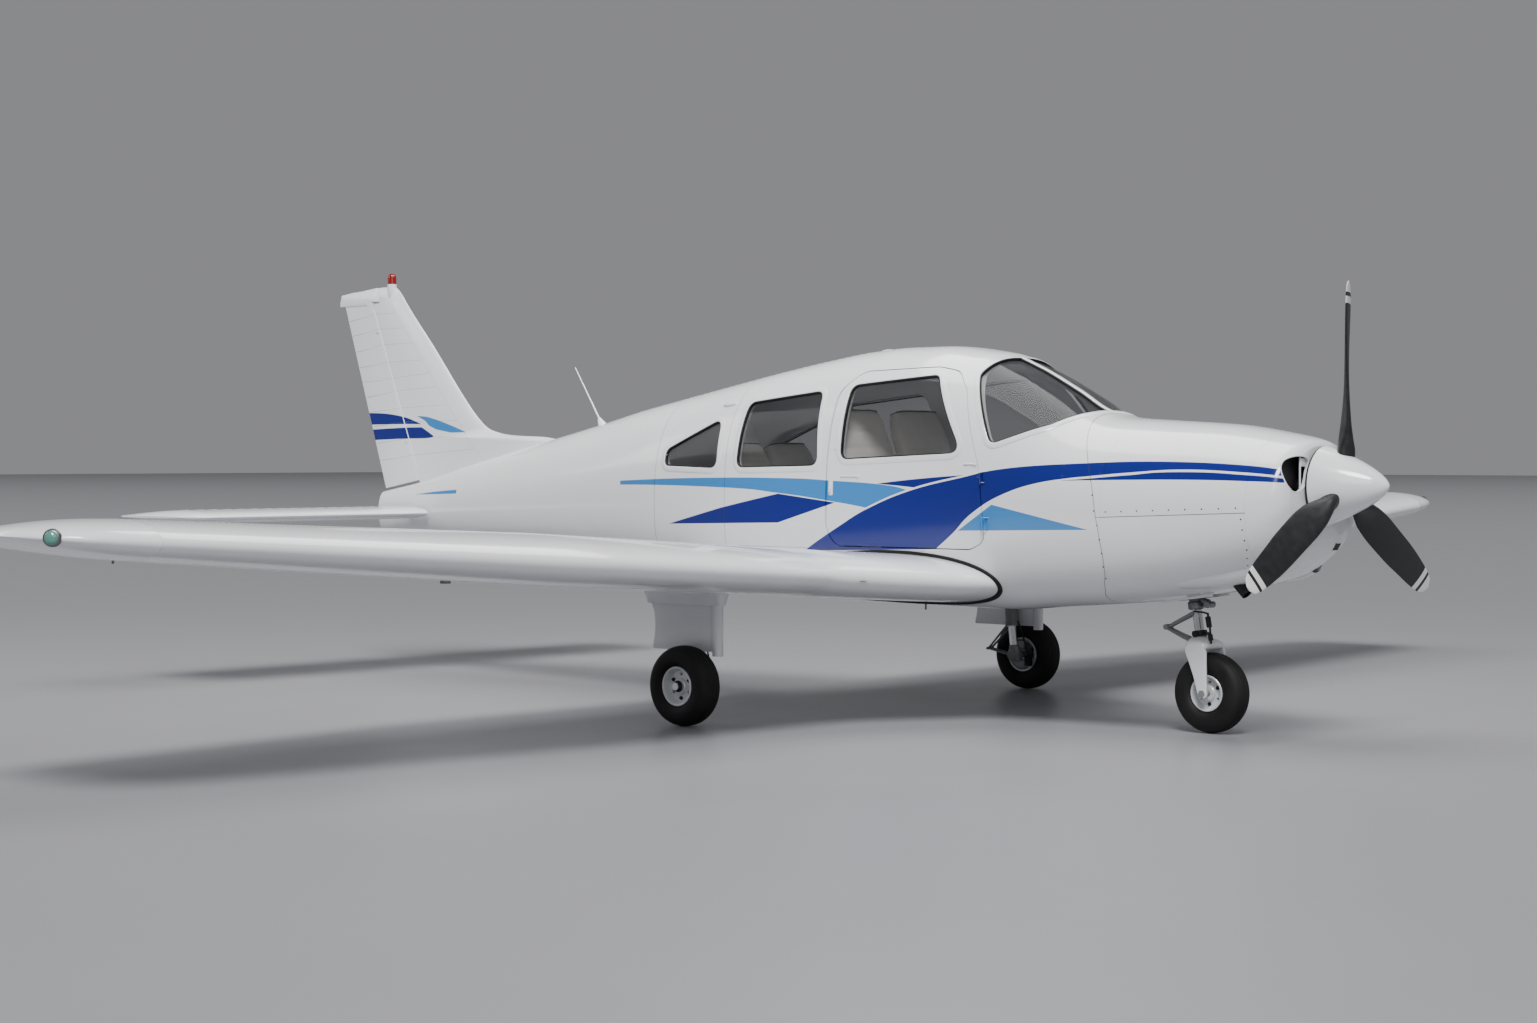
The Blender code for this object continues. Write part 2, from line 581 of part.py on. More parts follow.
def build_engine():
    """One plain block with its shaft and exhaust stack, carried on four mounts at the firewall."""
    bm = bmesh.new()
    outline = [(-0.34, 0.98), (-0.30, 0.88), (0.30, 0.88), (0.34, 0.98), (0.34, 1.22), (0.26, 1.34),
               (-0.26, 1.34), (-0.34, 1.22)]
    add_loft(bm, [[point(s, y, z) for y, z in outline] for s in (0.60, 1.12)])
    block = place("engine", mesh_from(bm, "engine"), "casting")
    shaft = rod("guide_shaft", point(SPINNER_BASE + 0.012 + SEAM, 0, PROP_Z), point(0.62, 0, PROP_Z), SHAFT_R)
    boolean(block, "UNION", shaft)
    for i, (y, z) in enumerate(((0.22, 0.95), (-0.22, 0.95), (0.22, 1.25), (-0.22, 1.25))):
        mount = rod("guide_mount_%d" % i, point(1.10, y, z), point(FIREWALL - SEAM, y, z), 0.022, sides=12)
        boolean(block, "UNION", mount)
    stack = rod("guide_stack", point(0.66, -0.17, 0.70), point(0.86, -0.17, 0.90), 0.028, sides=14)
    boolean(block, "UNION", stack)


def blade_ring(r, chord, thick, twist, offset=0.0, sides=16):
    """One section of a blade standing up along Z, its chord in the plane of the disc."""
    ring = []
    for i in range(sides):
        a = 2 * pi * i / sides
        along = chord / 2 * cos(a) + offset
        through = thick / 2 * sin(a) * (1 - 0.35 * cos(a))
        ring.append(Vector((through * cos(twist) - along * sin(twist),
                            along * cos(twist) + through * sin(twist), r)))
    return ring


def build_propeller():
    hub_centre = point(PROP_S, 0, PROP_Z)
    bm = bmesh.new()
    add_rod(bm, point(0.165, 0, PROP_Z), point(SPINNER_BASE + 0.004, 0, PROP_Z), HUB_R, sides=HUB_SIDES)
    hub = place("propeller_hub", mesh_from(bm, "propeller_hub"), "metal", hub_centre)
    plate = turned("guide_back_plate", point(SPINNER_BASE, 0, PROP_Z), (-1, 0, 0),
                   [(0, -0.0005), (SPINNER_R, -0.0005), (SPINNER_R, 0.012), (0, 0.012)], sides=SPINNER_SIDES)
    boolean(hub, "UNION", plate)
    length = SPINNER_BASE - 0.001
    profile = []
    steps = 8
    for i in range(steps + 1):
        t = i / steps
        profile.append((SPINNER_R * t ** SPINNER_POWER, length * (t - 1)))
    wall = 0.006
    inner = [((SPINNER_R - wall) * (i / 4) ** SPINNER_POWER, (length - 0.02) * (i / 4 - 1))
             for i in range(4, -1, -1)]
    shell = turned("spinner", point(length, 0, PROP_Z), (-1, 0, 0), profile + inner, "paint",
                   SPINNER_SIDES, hub_centre)
    for k in range(3):
        turn = radians(FIRST_BLADE + 120 * k)
        spin = Matrix.Translation(hub_centre) @ Matrix.Rotation(turn, 4, "X")
        stations_r = [(HUB_R + SEAM, 0.084, 0.084, 62, 0), (0.16, 0.084, 0.084, 60, 0),
                      (0.22, 0.110, 0.060, 52, 0.004), (0.30, 0.142, 0.036, 44, 0.006),
                      (0.42, 0.156, 0.026, 35, 0.006), (0.58, 0.156, 0.020, 27, 0.004),
                      (0.74, 0.144, 0.015, 22, 0), (0.87, 0.122, 0.011, 19, 0), (0.94, 0.088, 0.008, 18, 0),
                      (PROP_R, 0.030, 0.006, 18, 0)]
        rings = [[spin @ p for p in blade_ring(r, c, t, radians(tw), off)] for r, c, t, tw, off in stations_r]
        blade = loft("blade_%d" % (k + 1), rings, "blade", hub_centre)
        boolean(blade, "DIFFERENCE", rod("guide_hub_seat_%d" % k,
                                         point(0.10, 0, PROP_Z), point(0.33, 0, PROP_Z),
                                         HUB_R + SEAM, sides=HUB_SIDES))
        notch_rings = [[spin @ p for p in blade_ring(r, 0.098, 0.098, radians(60))] for r in (0.06, 0.26)]
        boolean(shell, "DIFFERENCE", loft("guide_blade_notch_%d" % k, notch_rings))


def foil_half(u, depth):
    """Half thickness over chord of a common wing section, at a share of the chord."""
    return 5 * depth * (0.2969 * sqrt(u) - 0.1260 * u - 0.3516 * u ** 2 + 0.2843 * u ** 3 - 0.1036 * u ** 4)


def airfoil(lead, trail, z_lead, depth, camber, incidence, blunt=BLUNT, count=14):
    """Points round a wing section as (s, z), from the trailing edge over the top and back below."""
    chord = trail - lead
    upper, lower = [], []
    for i in range(count + 1):
        u = 0.5 * (1 - cos(pi * i / count))
        half = foil_half(u, depth) * chord + blunt * u
        mean = 4 * camber * chord * u * (1 - u)
        base = z_lead - incidence * chord * u
        upper.append((lead + chord * u, base + mean + half))
        lower.append((lead + chord * u, base + mean - half))
    return list(reversed(upper)) + lower[1:]


def wing_plan(y):
    """Leading and trailing edge stations at a distance out from the middle."""
    for (y0, l0, t0), (y1, l1, t1) in zip(WING_PLAN, WING_PLAN[1:]):
        if y <= y1 + 1e-9:
            share = (y - y0) / (y1 - y0)
            return l0 + (l1 - l0) * share, t0 + (t1 - t0) * share
    return WING_PLAN[-1][1:]


def wing_depth(y):
    """Thickness over chord: the root glove stays as deep as the wing, and the tip thins out."""
    lead, trail = wing_plan(y)
    if y < 1.30:
        return WING_DEPTH * 1.6 / (trail - lead)
    if y > TIP_SEAM:
        out = (y - TIP_SEAM) / (WING_PLAN[-1][0] - TIP_SEAM)
        return WING_DEPTH * sqrt(max(1 - out ** 2.2, 0.04))
    return WING_DEPTH


def wing_ring(y, side, count=14):
    lead, trail = wing_plan(y)
    z_lead = WING_Z_ROOT + DIHEDRAL * y
    ring = airfoil(lead, trail, z_lead, wing_depth(y), WING_CAMBER, INCIDENCE, count=count)
    return [point(s, side * y, z) for s, z in ring]


def surface_hinge(y):
    """Station, height and half thickness of the wing at the control surfaces' hinge line."""
    lead, trail = wing_plan(y)
    chord = trail - lead
    u = HINGE_CHORD
    half = foil_half(u, WING_DEPTH) * chord + BLUNT * u
    mean = 4 * WING_CAMBER * chord * u * (1 - u)
    z = WING_Z_ROOT + DIHEDRAL * y - INCIDENCE * chord * u + mean
    return lead + chord * u, z, half


def surface_ring(y, side):
    """A control surface's section: a round nose on the hinge and flat sides to the trailing edge."""
    s, z, half = surface_hinge(y)
    lead, trail = wing_plan(y)
    z_trail = WING_Z_ROOT + DIHEDRAL * y - INCIDENCE * (trail - lead)
    ring = [(trail, z_trail + 0.002), (s, z + half)]
    for i in range(1, 12):
        a = pi / 2 + pi * i / 12
        ring.append((s + half * cos(a), z + half * sin(a)))
    ring += [(s, z - half), (trail, z_trail - 0.002)]
    return [point(p, side * y, q) for p, q in ring]


def cove_ring(y, side):
    """The space that a control surface needs, hollow in front like the surface's nose."""
    s, z, half = surface_hinge(y)
    reach = half + CLEAR
    ring = [(s + 0.6, z + 0.3), (s + reach * cos(radians(124)), z + 0.3)]
    for i in range(9):
        a = radians(124 + 112 * i / 8)
        ring.append((s + reach * cos(a), z + reach * sin(a)))
    ring += [(s + reach * cos(radians(236)), z - 0.3), (s + 0.6, z - 0.3)]
    return [point(p, side * y, q) for p, q in ring]


def control_surface(name, inner, outer, side):
    """A flap or an aileron with a hinge pin at each end."""
    a, b = surface_hinge(inner), surface_hinge(outer)
    first, last = point(a[0], side * inner, a[1]), point(b[0], side * outer, b[1])
    bm = bmesh.new()
    add_loft(bm, [surface_ring(y, side) for y in (inner, outer)])
    made = place(name, mesh_from(bm, name), "paint", (first + last) / 2)
    along = (last - first).normalized()
    reach = along * ((END_GAP - SEAM - HINGE_PIN_R * sqrt(1 - along.y ** 2)) / abs(along.y))
    pin = rod("guide_pin_" + name, first - reach, last + reach, HINGE_PIN_R, sides=12)
    boolean(made, "UNION", pin)
    return made


def build_wing(side, label, guides):
    ys = [0.30, 0.57, 0.71, 0.85, 1.0, 1.13, 1.30, 2.88, TIP_SEAM]
    wing = loft("wing_" + label, [wing_ring(y, side) for y in ys], "paint")
    boolean(wing, "DIFFERENCE", guides["seat_skin"])
    for name, inner, outer in (("flap", FLAP_IN, FLAP_OUT), ("aileron", AILERON_IN, AILERON_OUT)):
        rings = [cove_ring(y, side) for y in (inner - END_GAP, outer + END_GAP)]
        boolean(wing, "DIFFERENCE", loft("guide_%s_space_%s" % (name, label), rings))
        control_surface("%s_%s" % (name, label), inner, outer, side)
    pad = point(PAD_S, side * PAD_Y, 0)
    low, high = pad + Vector((0, 0, PAD_Z)), pad + Vector((0, 0, PAD_Z + 0.1))
    boolean(wing, "UNION", rod("guide_pad_" + label, low, high, PAD_R, sides=16))
    tip_ys = [TIP_SEAM + SEAM, 5.18, 5.30, 5.38, 5.44, 5.475, 5.50]
    loft("wing_tip_" + label, [wing_ring(y, side) for y in tip_ys], "paint")


def fin_hinge(z):
    (s0, z0), (s1, z1) = FIN_HINGE_LOW, FIN_HINGE_HIGH
    return s0 + (s1 - s0) * (z - z0) / (z1 - z0)


fin_lead = curve([(1.10, 5.40), (1.44, 5.50), (1.470, 5.66), (1.480, 5.92), (1.495, 6.05), (1.524, 6.155),
                  (1.60, 6.262), (1.699, 6.361), (2.048, 6.667), (2.308, 6.906), (2.385, 6.968),
                  (2.415, 7.000), (2.432, 7.030)])
fin_half = curve([(1.10, 0.046), (1.60, 0.043), (2.30, 0.030), (2.385, 0.024), (2.415, 0.014),
                  (2.432, 0.004)])
fin_nose = curve([(1.10, 1.20), (1.48, 0.85), (1.60, 0.45), (2.43, 0.30)])
HORN_LEAD, HORN_Z, HORN_GAP, FIN_LIP = 7.166, 2.343, 0.013, 0.003
RUDDER_TRAIL = [(1.10, 7.103), (2.353, 7.526)]
# A level slice stretches round shapes about the leaning hinge by this much
FIN_STRETCH = sqrt(1 + ((FIN_HINGE_HIGH[0] - FIN_HINGE_LOW[0]) / (FIN_HINGE_HIGH[1] - FIN_HINGE_LOW[1])) ** 2)


def fin_ring(z, count=10):
    """A level slice of the fin, from its leading edge to the hollow for the rudder's nose."""
    lead, half, hinge, nose = fin_lead(z), fin_half(z), fin_hinge(z), fin_nose(z)
    reach = rudder_half(z) + CLEAR
    angles = [radians(124 + 112 * i / 6) for i in range(7)]
    if z < HORN_Z - HORN_GAP:
        back = [(hinge + reach * FIN_STRETCH * cos(a), reach * sin(a)) for a in angles]
        back_half = reach * sin(angles[0]) + FIN_LIP
    else:
        back_half = min(half * 0.95, 0.024)
        back = [(HORN_LEAD - HORN_GAP / 2, back_half * (1 - i / 3)) for i in range(7)]
    last = back[0][0]
    side = []
    for i in range(1, count + 1):
        s = lead + (last - lead) * (i / count) ** 1.6
        q = min((s - lead) / nose, 1.0)
        share = (s - lead) / (last - lead)
        side.append((s, (half + (back_half - half) * share ** 3) * sqrt(1 - (1 - q) ** 2)))
    ring = [point(s, y, z) for s, y in side + back[1:-1]]
    ring += [point(s, -y, z) for s, y in reversed(side)]
    return ring + [point(lead, -0.002, z), point(lead, 0.002, z)]


def rudder_half(z):
    return 0.036 - 0.014 * (z - 1.2) / 1.1


def rudder_ring(z, trail):
    hinge, half = fin_hinge(z), rudder_half(z)
    ring = [point(trail, 0.003, z), point(hinge, half, z)]
    for i in range(1, 12):
        a = pi / 2 + pi * i / 12
        ring.append(point(hinge + half * cos(a) * FIN_STRETCH, half * sin(a), z))
    return ring + [point(hinge, -half, z), point(trail, -0.003, z)]


def build_fin(tail_seat):
    step = HORN_Z - HORN_GAP
    zs = [1.16, 1.30, 1.44, 1.468, 1.480, 1.495, 1.524, 1.60, 1.70, 1.88, 2.05, step - 0.0001, step + 0.0001,
          2.385, 2.415, 2.432]
    fin = loft("fin", [fin_ring(z) for z in zs], "paint")
    boolean(fin, "DIFFERENCE", tail_seat)


def build_rudder():
    low, high = RUDDER_TRAIL[0][0], HORN_Z + 0.01
    trail = curve(RUDDER_TRAIL)
    bm = bmesh.new()
    add_loft(bm, [rudder_ring(z, trail(z)) for z in (low, 1.5, 1.9, 2.2, high)])
    origin = point(fin_hinge(1.5), 0, 1.5)
    rudder = place("rudder", mesh_from(bm, "rudder"), "paint", origin)
    below = ((6.60, 1.0), (7.40, 1.0), (7.40, 1.106), (6.60, 1.232))
    foot = loft("guide_rudder_foot", [[point(s, y, z) for s, z in below] for y in (-0.1, 0.1)])
    boolean(rudder, "DIFFERENCE", foot)
    cap_rings = []
    for z, tail, half in ((HORN_Z, 7.569, 0.024), (2.37, 7.561, 0.021), (2.395, 7.553, 0.015),
                          (2.416, 7.34, 0.010), (2.430, 7.22, 0.004)):
        ring = []
        for i in range(14):
            a = pi / 2 + pi * i / 13
            ring.append(point(HORN_LEAD + 0.05 + 0.05 * cos(a), half * sin(a), z))
        cap_rings.append(ring + [point(tail, -0.0025, z), point(tail, 0.0025, z)])
    boolean(rudder, "UNION", loft("guide_rudder_cap", cap_rings))
    axis = (point(fin_hinge(2.0), 0, 2.0) - point(fin_hinge(1.0), 0, 1.0)).normalized()
    for i, z in enumerate((1.45, 2.15)):
        centre = point(fin_hinge(z), 0, z)
        boss_r = (rudder_half(z + 0.012) + CLEAR) * cos(radians(112 / 12)) - SEAM
        boolean(rudder, "UNION", rod("guide_rudder_boss_%d" % i, centre - axis * 0.010, centre + axis * 0.010,
                                     boss_r, sides=20))


def stab_ring(y, lead=STAB_LEAD, trail=STAB_TRAIL, depth=0.10):
    return [point(s, y, z) for s, z in airfoil(lead, trail, STAB_Z, depth, 0.0, 0.0, 0.004, 12)]


def build_stabilator():
    halves = []
    for side in (1, -1):
        ys = [STAB_ROOT, 1.80, 1.87, 1.91, STAB_SPAN]
        leads = [STAB_LEAD, STAB_LEAD, 6.563, 6.60, 6.68]
        trails = [STAB_TRAIL, STAB_TRAIL, 7.305, 7.29, 7.24]
        depths = [0.10, 0.10, 0.09, 0.07, 0.03]
        rings = [stab_ring(side * y, l, t, d) for y, l, t, d in zip(ys, leads, trails, depths)]
        name = "stabilator" if side > 0 else "guide_stabilator_right"
        halves.append(loft(name, rings, "paint" if side > 0 else None,
                           point(STAB_HINGE, 0, STAB_Z) if side > 0 else None))
    main, other = halves
    boolean(main, "UNION", rod("guide_tube", point(STAB_HINGE, -0.2, STAB_Z), point(STAB_HINGE, 0.2, STAB_Z),
                               TORQUE_TUBE_R))
    boolean(main, "UNION", other)
    nose = TAB_NOSE_R
    bm = bmesh.new()
    reach = nose + CLEAR
    ring = [(7.5, 0.1), (TAB_HINGE + reach * cos(radians(124)), 0.1)]
    for i in range(7):
        a = radians(124 + 112 * i / 6)
        ring.append((TAB_HINGE + reach * cos(a), reach * sin(a)))
    ring += [(TAB_HINGE + reach * cos(radians(236)), -0.1), (7.5, -0.1)]
    add_loft(bm, [[point(s, y, STAB_Z + z) for s, z in ring] for y in (-TAB_SPAN - CLEAR, TAB_SPAN + CLEAR)])
    boolean(main, "DIFFERENCE", place("guide_tab_space", mesh_from(bm, "guide_tab_space")))
    bm = bmesh.new()
    ring = [(STAB_TRAIL, 0.002), (TAB_HINGE, nose)]
    for i in range(1, 8):
        a = pi / 2 + pi * i / 8
        ring.append((TAB_HINGE + nose * cos(a), nose * sin(a)))
    ring += [(TAB_HINGE, -nose), (STAB_TRAIL, -0.002)]
    add_loft(bm, [[point(s, y, STAB_Z + z) for s, z in ring] for y in (-TAB_SPAN, TAB_SPAN)])
    tab = place("stabilator_tab", mesh_from(bm, "stabilator_tab"), "paint", point(TAB_HINGE, 0, STAB_Z))
    end = TAB_SPAN + CLEAR - SEAM
    boolean(tab, "UNION", rod("guide_tab_pin", point(TAB_HINGE, -end, STAB_Z),
                              point(TAB_HINGE, end, STAB_Z), TAB_PIN_R, sides=12))


def build_beacon_and_antenna():
    beacon = turned("beacon", point(7.06, 0, 2.4323), (0, 0, 1),
                    [(0, 0), (0.030, 0), (0.030, 0.016), (0.024, 0.018), (0.023, 0.052), (0.015, 0.078),
                     (0, 0.085)], "beacon", 18)
    boolean(beacon, "DIFFERENCE", bpy.data.objects["guide_fin_top"])
    rod("whip_antenna", whip_at(WHIP_FOOT_Z + SEAM), whip_at(WHIP[1][1]), 0.006, 0.003, "dark", 10)


def join_rods(target, name, rods):
    """Join rods, given by their ends and radius, to a piece."""
    for i, (start, end, r) in enumerate(rods):
        boolean(target, "UNION", rod("guide_%s_%d" % (name, i), start, end, r, sides=12))


def wheel_profile(r, width, bore):
    """A rim with a dished face and two flanges, as radius and height."""
    w = width / 2
    return [(bore, -w * 0.75), (r * 0.34, -w * 0.75), (r * 0.40, -w * 0.45), (r * 0.88, -w * 0.45),
            (r * 0.92, -w), (r, -w), (r, -w + 0.012), (r * 0.93, -w + 0.022), (r * 0.93, w - 0.022),
            (r, w - 0.012), (r, w), (r * 0.92, w), (r * 0.88, w * 0.45), (r * 0.40, w * 0.45),
            (r * 0.34, w * 0.75), (bore, w * 0.75)]


def tyre_profile(r_out, width, r_in, steps=TYRE_STEPS):
    """A tyre's closed section, fuller at the sides, seated over the rim, with a flat tread."""
    power = 2 / 2.5
    reach = (r_out - r_in) / 2 / cos(pi / steps) ** power
    middle = (r_out + r_in) / 2
    made = []
    for i in range(steps):
        a = 2 * pi * (i + 0.5) / steps
        c, q = cos(a), sin(a)
        made.append((middle + reach * (1 if c >= 0 else -1) * abs(c) ** power,
                     width / 2 * (1 if q >= 0 else -1) * abs(q) ** power))
    return made


def build_wheel(prefix, centre, r, width, rim_r, bore):
    """A rim and its tyre, which stands on a flat of its outline."""
    rim_w = width * 0.72
    turned(prefix + "_wheel", centre, (0, 1, 0), wheel_profile(rim_r, rim_w, bore), "metal",
           RIM_SIDES, centre, 40)
    flat = pi / TYRE_SIDES
    tyre = turned(prefix + "_tyre", centre, (0, 1, 0), tyre_profile(r / cos(flat), width, rim_r * 0.80),
                  "rubber", TYRE_SIDES, centre, 60, flat)
    edge, wide, bed = rim_w / 2, rim_r + SEAM, rim_r * 0.93 + SEAM
    seat = turned("guide_%s_seat" % prefix, centre, (0, 1, 0),
                  [(0, -edge - 0.03), (wide, -edge - 0.03), (wide, -edge + 0.0125), (bed, -edge + 0.0225),
                   (bed, edge - 0.0225), (wide, edge - 0.0125), (wide, edge + 0.03), (0, edge + 0.03)],
                  sides=RIM_SIDES)
    boolean(tyre, "DIFFERENCE", seat)


def build_main_gear(side, label, wing_seat):
    """A leg with its axle, scissor links and the plate that covers its well."""
    def leg_at(z, out=0.0):
        return point(LEG_S + LEG_LEAN * (z - MAIN_R), side * (LEG_Y + out), z)

    leg = rod("main_leg_" + label, leg_at(0.34), leg_at(0.72), 0.036, finish="metal")
    axle_in, axle_end = point(MAIN_S, side * (LEG_Y + 0.005), MAIN_R), point(MAIN_S, side * AXLE_END, MAIN_R)
    knee = point(KNEE_S, side * LEG_Y, KNEE_Z)
    pin = Vector((0, 0.03, 0))
    rods = [(leg_at(0.175), leg_at(0.35), 0.026),
            (leg_at(MAIN_R, -0.03), leg_at(MAIN_R, 0.03), 0.030),
            (axle_in, axle_end, 0.019),
            (leg_at(0.36), knee, 0.012), (knee, leg_at(0.20), 0.012), (knee - pin, knee + pin, 0.016)]
    join_rods(leg, "leg_" + label, rods)
    outline = rounded(LEG_PLATE, 0.015, 2)
    plate = loft("guide_leg_plate_" + label, [[point(s, side * (LEG_Y + y), z) for s, z in outline]
                                              for y in PLATE_Y])
    boolean(leg, "UNION", plate)
    fairing_y = side * (LEG_Y + PLATE_Y[1])
    boolean(leg, "UNION", rod("guide_leg_fairing_" + label, point(FAIRING_S, fairing_y, FAIRING_LOW),
                              point(FAIRING_S, fairing_y, 0.70), FAIRING_R, sides=12))
    rings = []
    for z, front, rear, inner, outer in LEG_COLLAR:
        corners = [(front, inner), (rear, inner), (rear, outer), (front, outer)]
        rings.append([point(s, side * (LEG_Y + y), z) for s, y in rounded(corners, 0.02, 2)])
    boolean(leg, "UNION", loft("guide_leg_collar_" + label, rings))
    boolean(leg, "DIFFERENCE", wing_seat)
    centre = point(MAIN_S, side * MAIN_Y, MAIN_R)
    build_wheel("main_%s" % label, centre, MAIN_R, MAIN_W, 0.085, 0.0193)


def steer_at(z, forward=0.0):
    s, top = STEER_TOP
    return s + STEER_LEAN * (z - top) - forward


def build_nose_gear():
    strut = rod("nose_strut", point(steer_at(0.80), 0, 0.80), point(steer_at(0.600), 0, 0.600), 0.034,
                finish="metal")
    join_rods(strut, "strut", [
        (point(steer_at(0.66), 0, 0.66), point(steer_at(0.66) - 0.075, 0, 0.625), 0.014),
        (point(steer_at(0.79), -0.24, 0.815), point(steer_at(0.79), 0.24, 0.815), 0.016),
        (point(steer_at(0.76), 0, 0.76), point(FIREWALL - 0.02, 0.12, 0.80), 0.014),
        (point(steer_at(0.76), 0, 0.76), point(FIREWALL - 0.02, -0.12, 0.80), 0.014),
        (point(FIREWALL - 0.035, 0.12, 0.80), point(FIREWALL - SEAM, 0.12, 0.80), 0.022),
        (point(FIREWALL - 0.035, -0.12, 0.80), point(FIREWALL - SEAM, -0.12, 0.80), 0.022)])
    low, high = point(steer_at(0.44), 0, 0.44), point(steer_at(0.5995), 0, 0.5995)
    origin = point(steer_at(0.60), 0, 0.60)
    fork = rod("nose_fork", low, high, 0.024, finish="paint")
    rings = []
    for front, rear, half, z in ((0.950, 1.060, FORK_Y[1], FORK_TOP[0]), (0.975, 1.054, 0.080, FORK_TOP[1])):
        corners = [(rear, -half), (front, -half), (front, half), (rear, half)]
        rings.append([point(s, y, z) for s, y in rounded(corners, 0.02, 3)])
    boolean(fork, "UNION", loft("guide_crown", rings))
    for side in (1, -1):
        rings = []
        near, far = FORK_Y
        for s, z, wide in FORK_LEG:
            front, rear = s - wide / 2, s + wide / 2
            rings.append([point(front, side * near, z), point(rear, side * near, z),
                          point(rear, side * far, z), point(front, side * far, z)])
        boolean(fork, "UNION", loft("guide_fork_leg_%d" % side, rings))
    axle = rod("guide_nose_axle", point(NOSE_S, -NOSE_AXLE, NOSE_R), point(NOSE_S, NOSE_AXLE, NOSE_R),
               0.014, sides=16)
    boolean(fork, "UNION", axle)
    join_rods(fork, "fork_link", [
        (point(1.050, 0, 0.455), point(1.215, 0, 0.512), 0.011),
        (point(1.207, 0, 0.507), point(steer_at(0.585), 0, 0.587), 0.0105),
        (point(1.210, -0.026, 0.510), point(1.210, 0.026, 0.510), 0.015)])
    fork.data.transform(Matrix.Translation(-origin))
    fork.location = origin
    centre = point(NOSE_S, 0, NOSE_R)
    build_wheel("nose", centre, NOSE_R, NOSE_W, 0.072, 0.0143)


def soft_block(name, low, high, radius, finish):
    """A block with its edges rounded."""
    made = box(name, low, high, finish)
    bevel = made.modifiers.new("Round edges", "BEVEL")
    bevel.width = radius
    bevel.segments = 2
    bevel.limit_method = "ANGLE"
    return made


def build_seat(name, y, half, cushion, back_height):
    """A cushion on a box base, with a leaning back and, on a front seat, a head rest."""
    front, rear = cushion
    seat = soft_block(name, (NOSE_X - rear, y - half, 0.90), (NOSE_X - front, y + half, 1.02), 0.035,
                      "leather")
    base = box("guide_base_" + name, (NOSE_X - rear + 0.08, y - half + 0.13, FLOOR_Z + SEAM),
               (NOSE_X - front - 0.08, y + half - 0.13, 0.94))
    boolean(seat, "UNION", base)
    lean = 0.17
    outline = rounded([(rear - 0.10, 0.93), (rear + 0.03, 0.93), (rear + 0.03 + lean, back_height),
                       (rear - 0.05 + lean, back_height)], 0.03)
    back = loft("guide_back_" + name, [[point(s, y + side * (half - 0.01), z) for s, z in outline]
                                       for side in (-1, 1)])
    boolean(seat, "UNION", back)
    if half < 0.3:
        top = (rear + lean - 0.01, back_height)
        head = [(top[0] - 0.03, top[1] - 0.02), (top[0] + 0.03, top[1] - 0.02),
                (top[0] + 0.07, top[1] + 0.15), (top[0] - 0.01, top[1] + 0.15)]
        rest = loft("guide_head_" + name, [[point(s, y + side * 0.12, z) for s, z in rounded(head, 0.025)]
                                           for side in (-1, 1)])
        boolean(seat, "UNION", rest)
    return seat


def build_interior():
    build_seat("seat_left", 0.255, 0.225, (2.36, 2.84), 1.46)
    build_seat("seat_right", -0.255, 0.225, (2.36, 2.84), 1.46)
    build_seat("rear_bench", 0.0, 0.385, (3.30, 3.72), 1.38)
    panel = box("instrument_panel", (NOSE_X - 1.86, -0.44, 1.09), (NOSE_X - 1.80, 0.44, 1.36), "dark")
    slope = ((1.62, 1.40), (1.90, 1.345), (1.90, 1.365), (1.62, 1.42))
    shield = loft("guide_glareshield", [[point(s, y, z) for s, z in slope] for y in (-0.40, 0.40)])
    boolean(panel, "UNION", shield)
    pedestal = box("guide_pedestal", (NOSE_X - 1.90, -0.085, FLOOR_Z + SEAM), (NOSE_X - 1.80, 0.085, 1.12))
    boolean(panel, "UNION", pedestal)
    for side in (1, -1):
        y = side * 0.255
        join_rods(panel, "yoke_%d" % side, [
            (point(1.84, y, 1.20), point(2.00, y, 1.20), 0.012),
            (point(1.99, y - 0.12, 1.20), point(1.99, y + 0.12, 1.20), 0.014),
            (point(1.99, y - 0.12, 1.19), point(1.99, y - 0.135, 1.30), 0.014),
            (point(1.99, y + 0.12, 1.19), point(1.99, y + 0.135, 1.30), 0.014)])


def build():
    clear_scene()
    guides = fuselage_guides()
    body = build_cabin(guides)
    door = build_door(guides)
    build_hinges(body, door)
    build_tailcone()
    build_cowling()
    build_engine()
    build_propeller()
    for side, label in ((1, "left"), (-1, "right")):
        build_wing(side, label, guides)
        below = Vector((0, 0, -SEAM * 2))
        wing_seat = loft("guide_wing_seat_" + label, [[p + below for p in wing_ring(y, side)]
                                                      for y in (0.9, 1.13, 1.30, 2.0)])
        build_main_gear(side, label, wing_seat)
    tail_seat = hull("guide_tail_seat", BULKHEAD, TAIL_END + 0.2, -SEAM * 2, TAIL_MARKS + [TAIL_END])
    build_fin(tail_seat)
    build_rudder()
    build_stabilator()
    zs = [2.30, 2.385, 2.415, 2.432]
    loft("guide_fin_top", [[p + Vector((0, 0, SEAM)) for p in fin_ring(z)] for z in zs])
    build_beacon_and_antenna()
    build_nose_gear()
    build_interior()


build()
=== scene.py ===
from math import asin, cos, pi, radians, sin, sqrt, tan

import bmesh
import bpy
from mathutils import Matrix, Vector
from mathutils.bvhtree import BVHTree


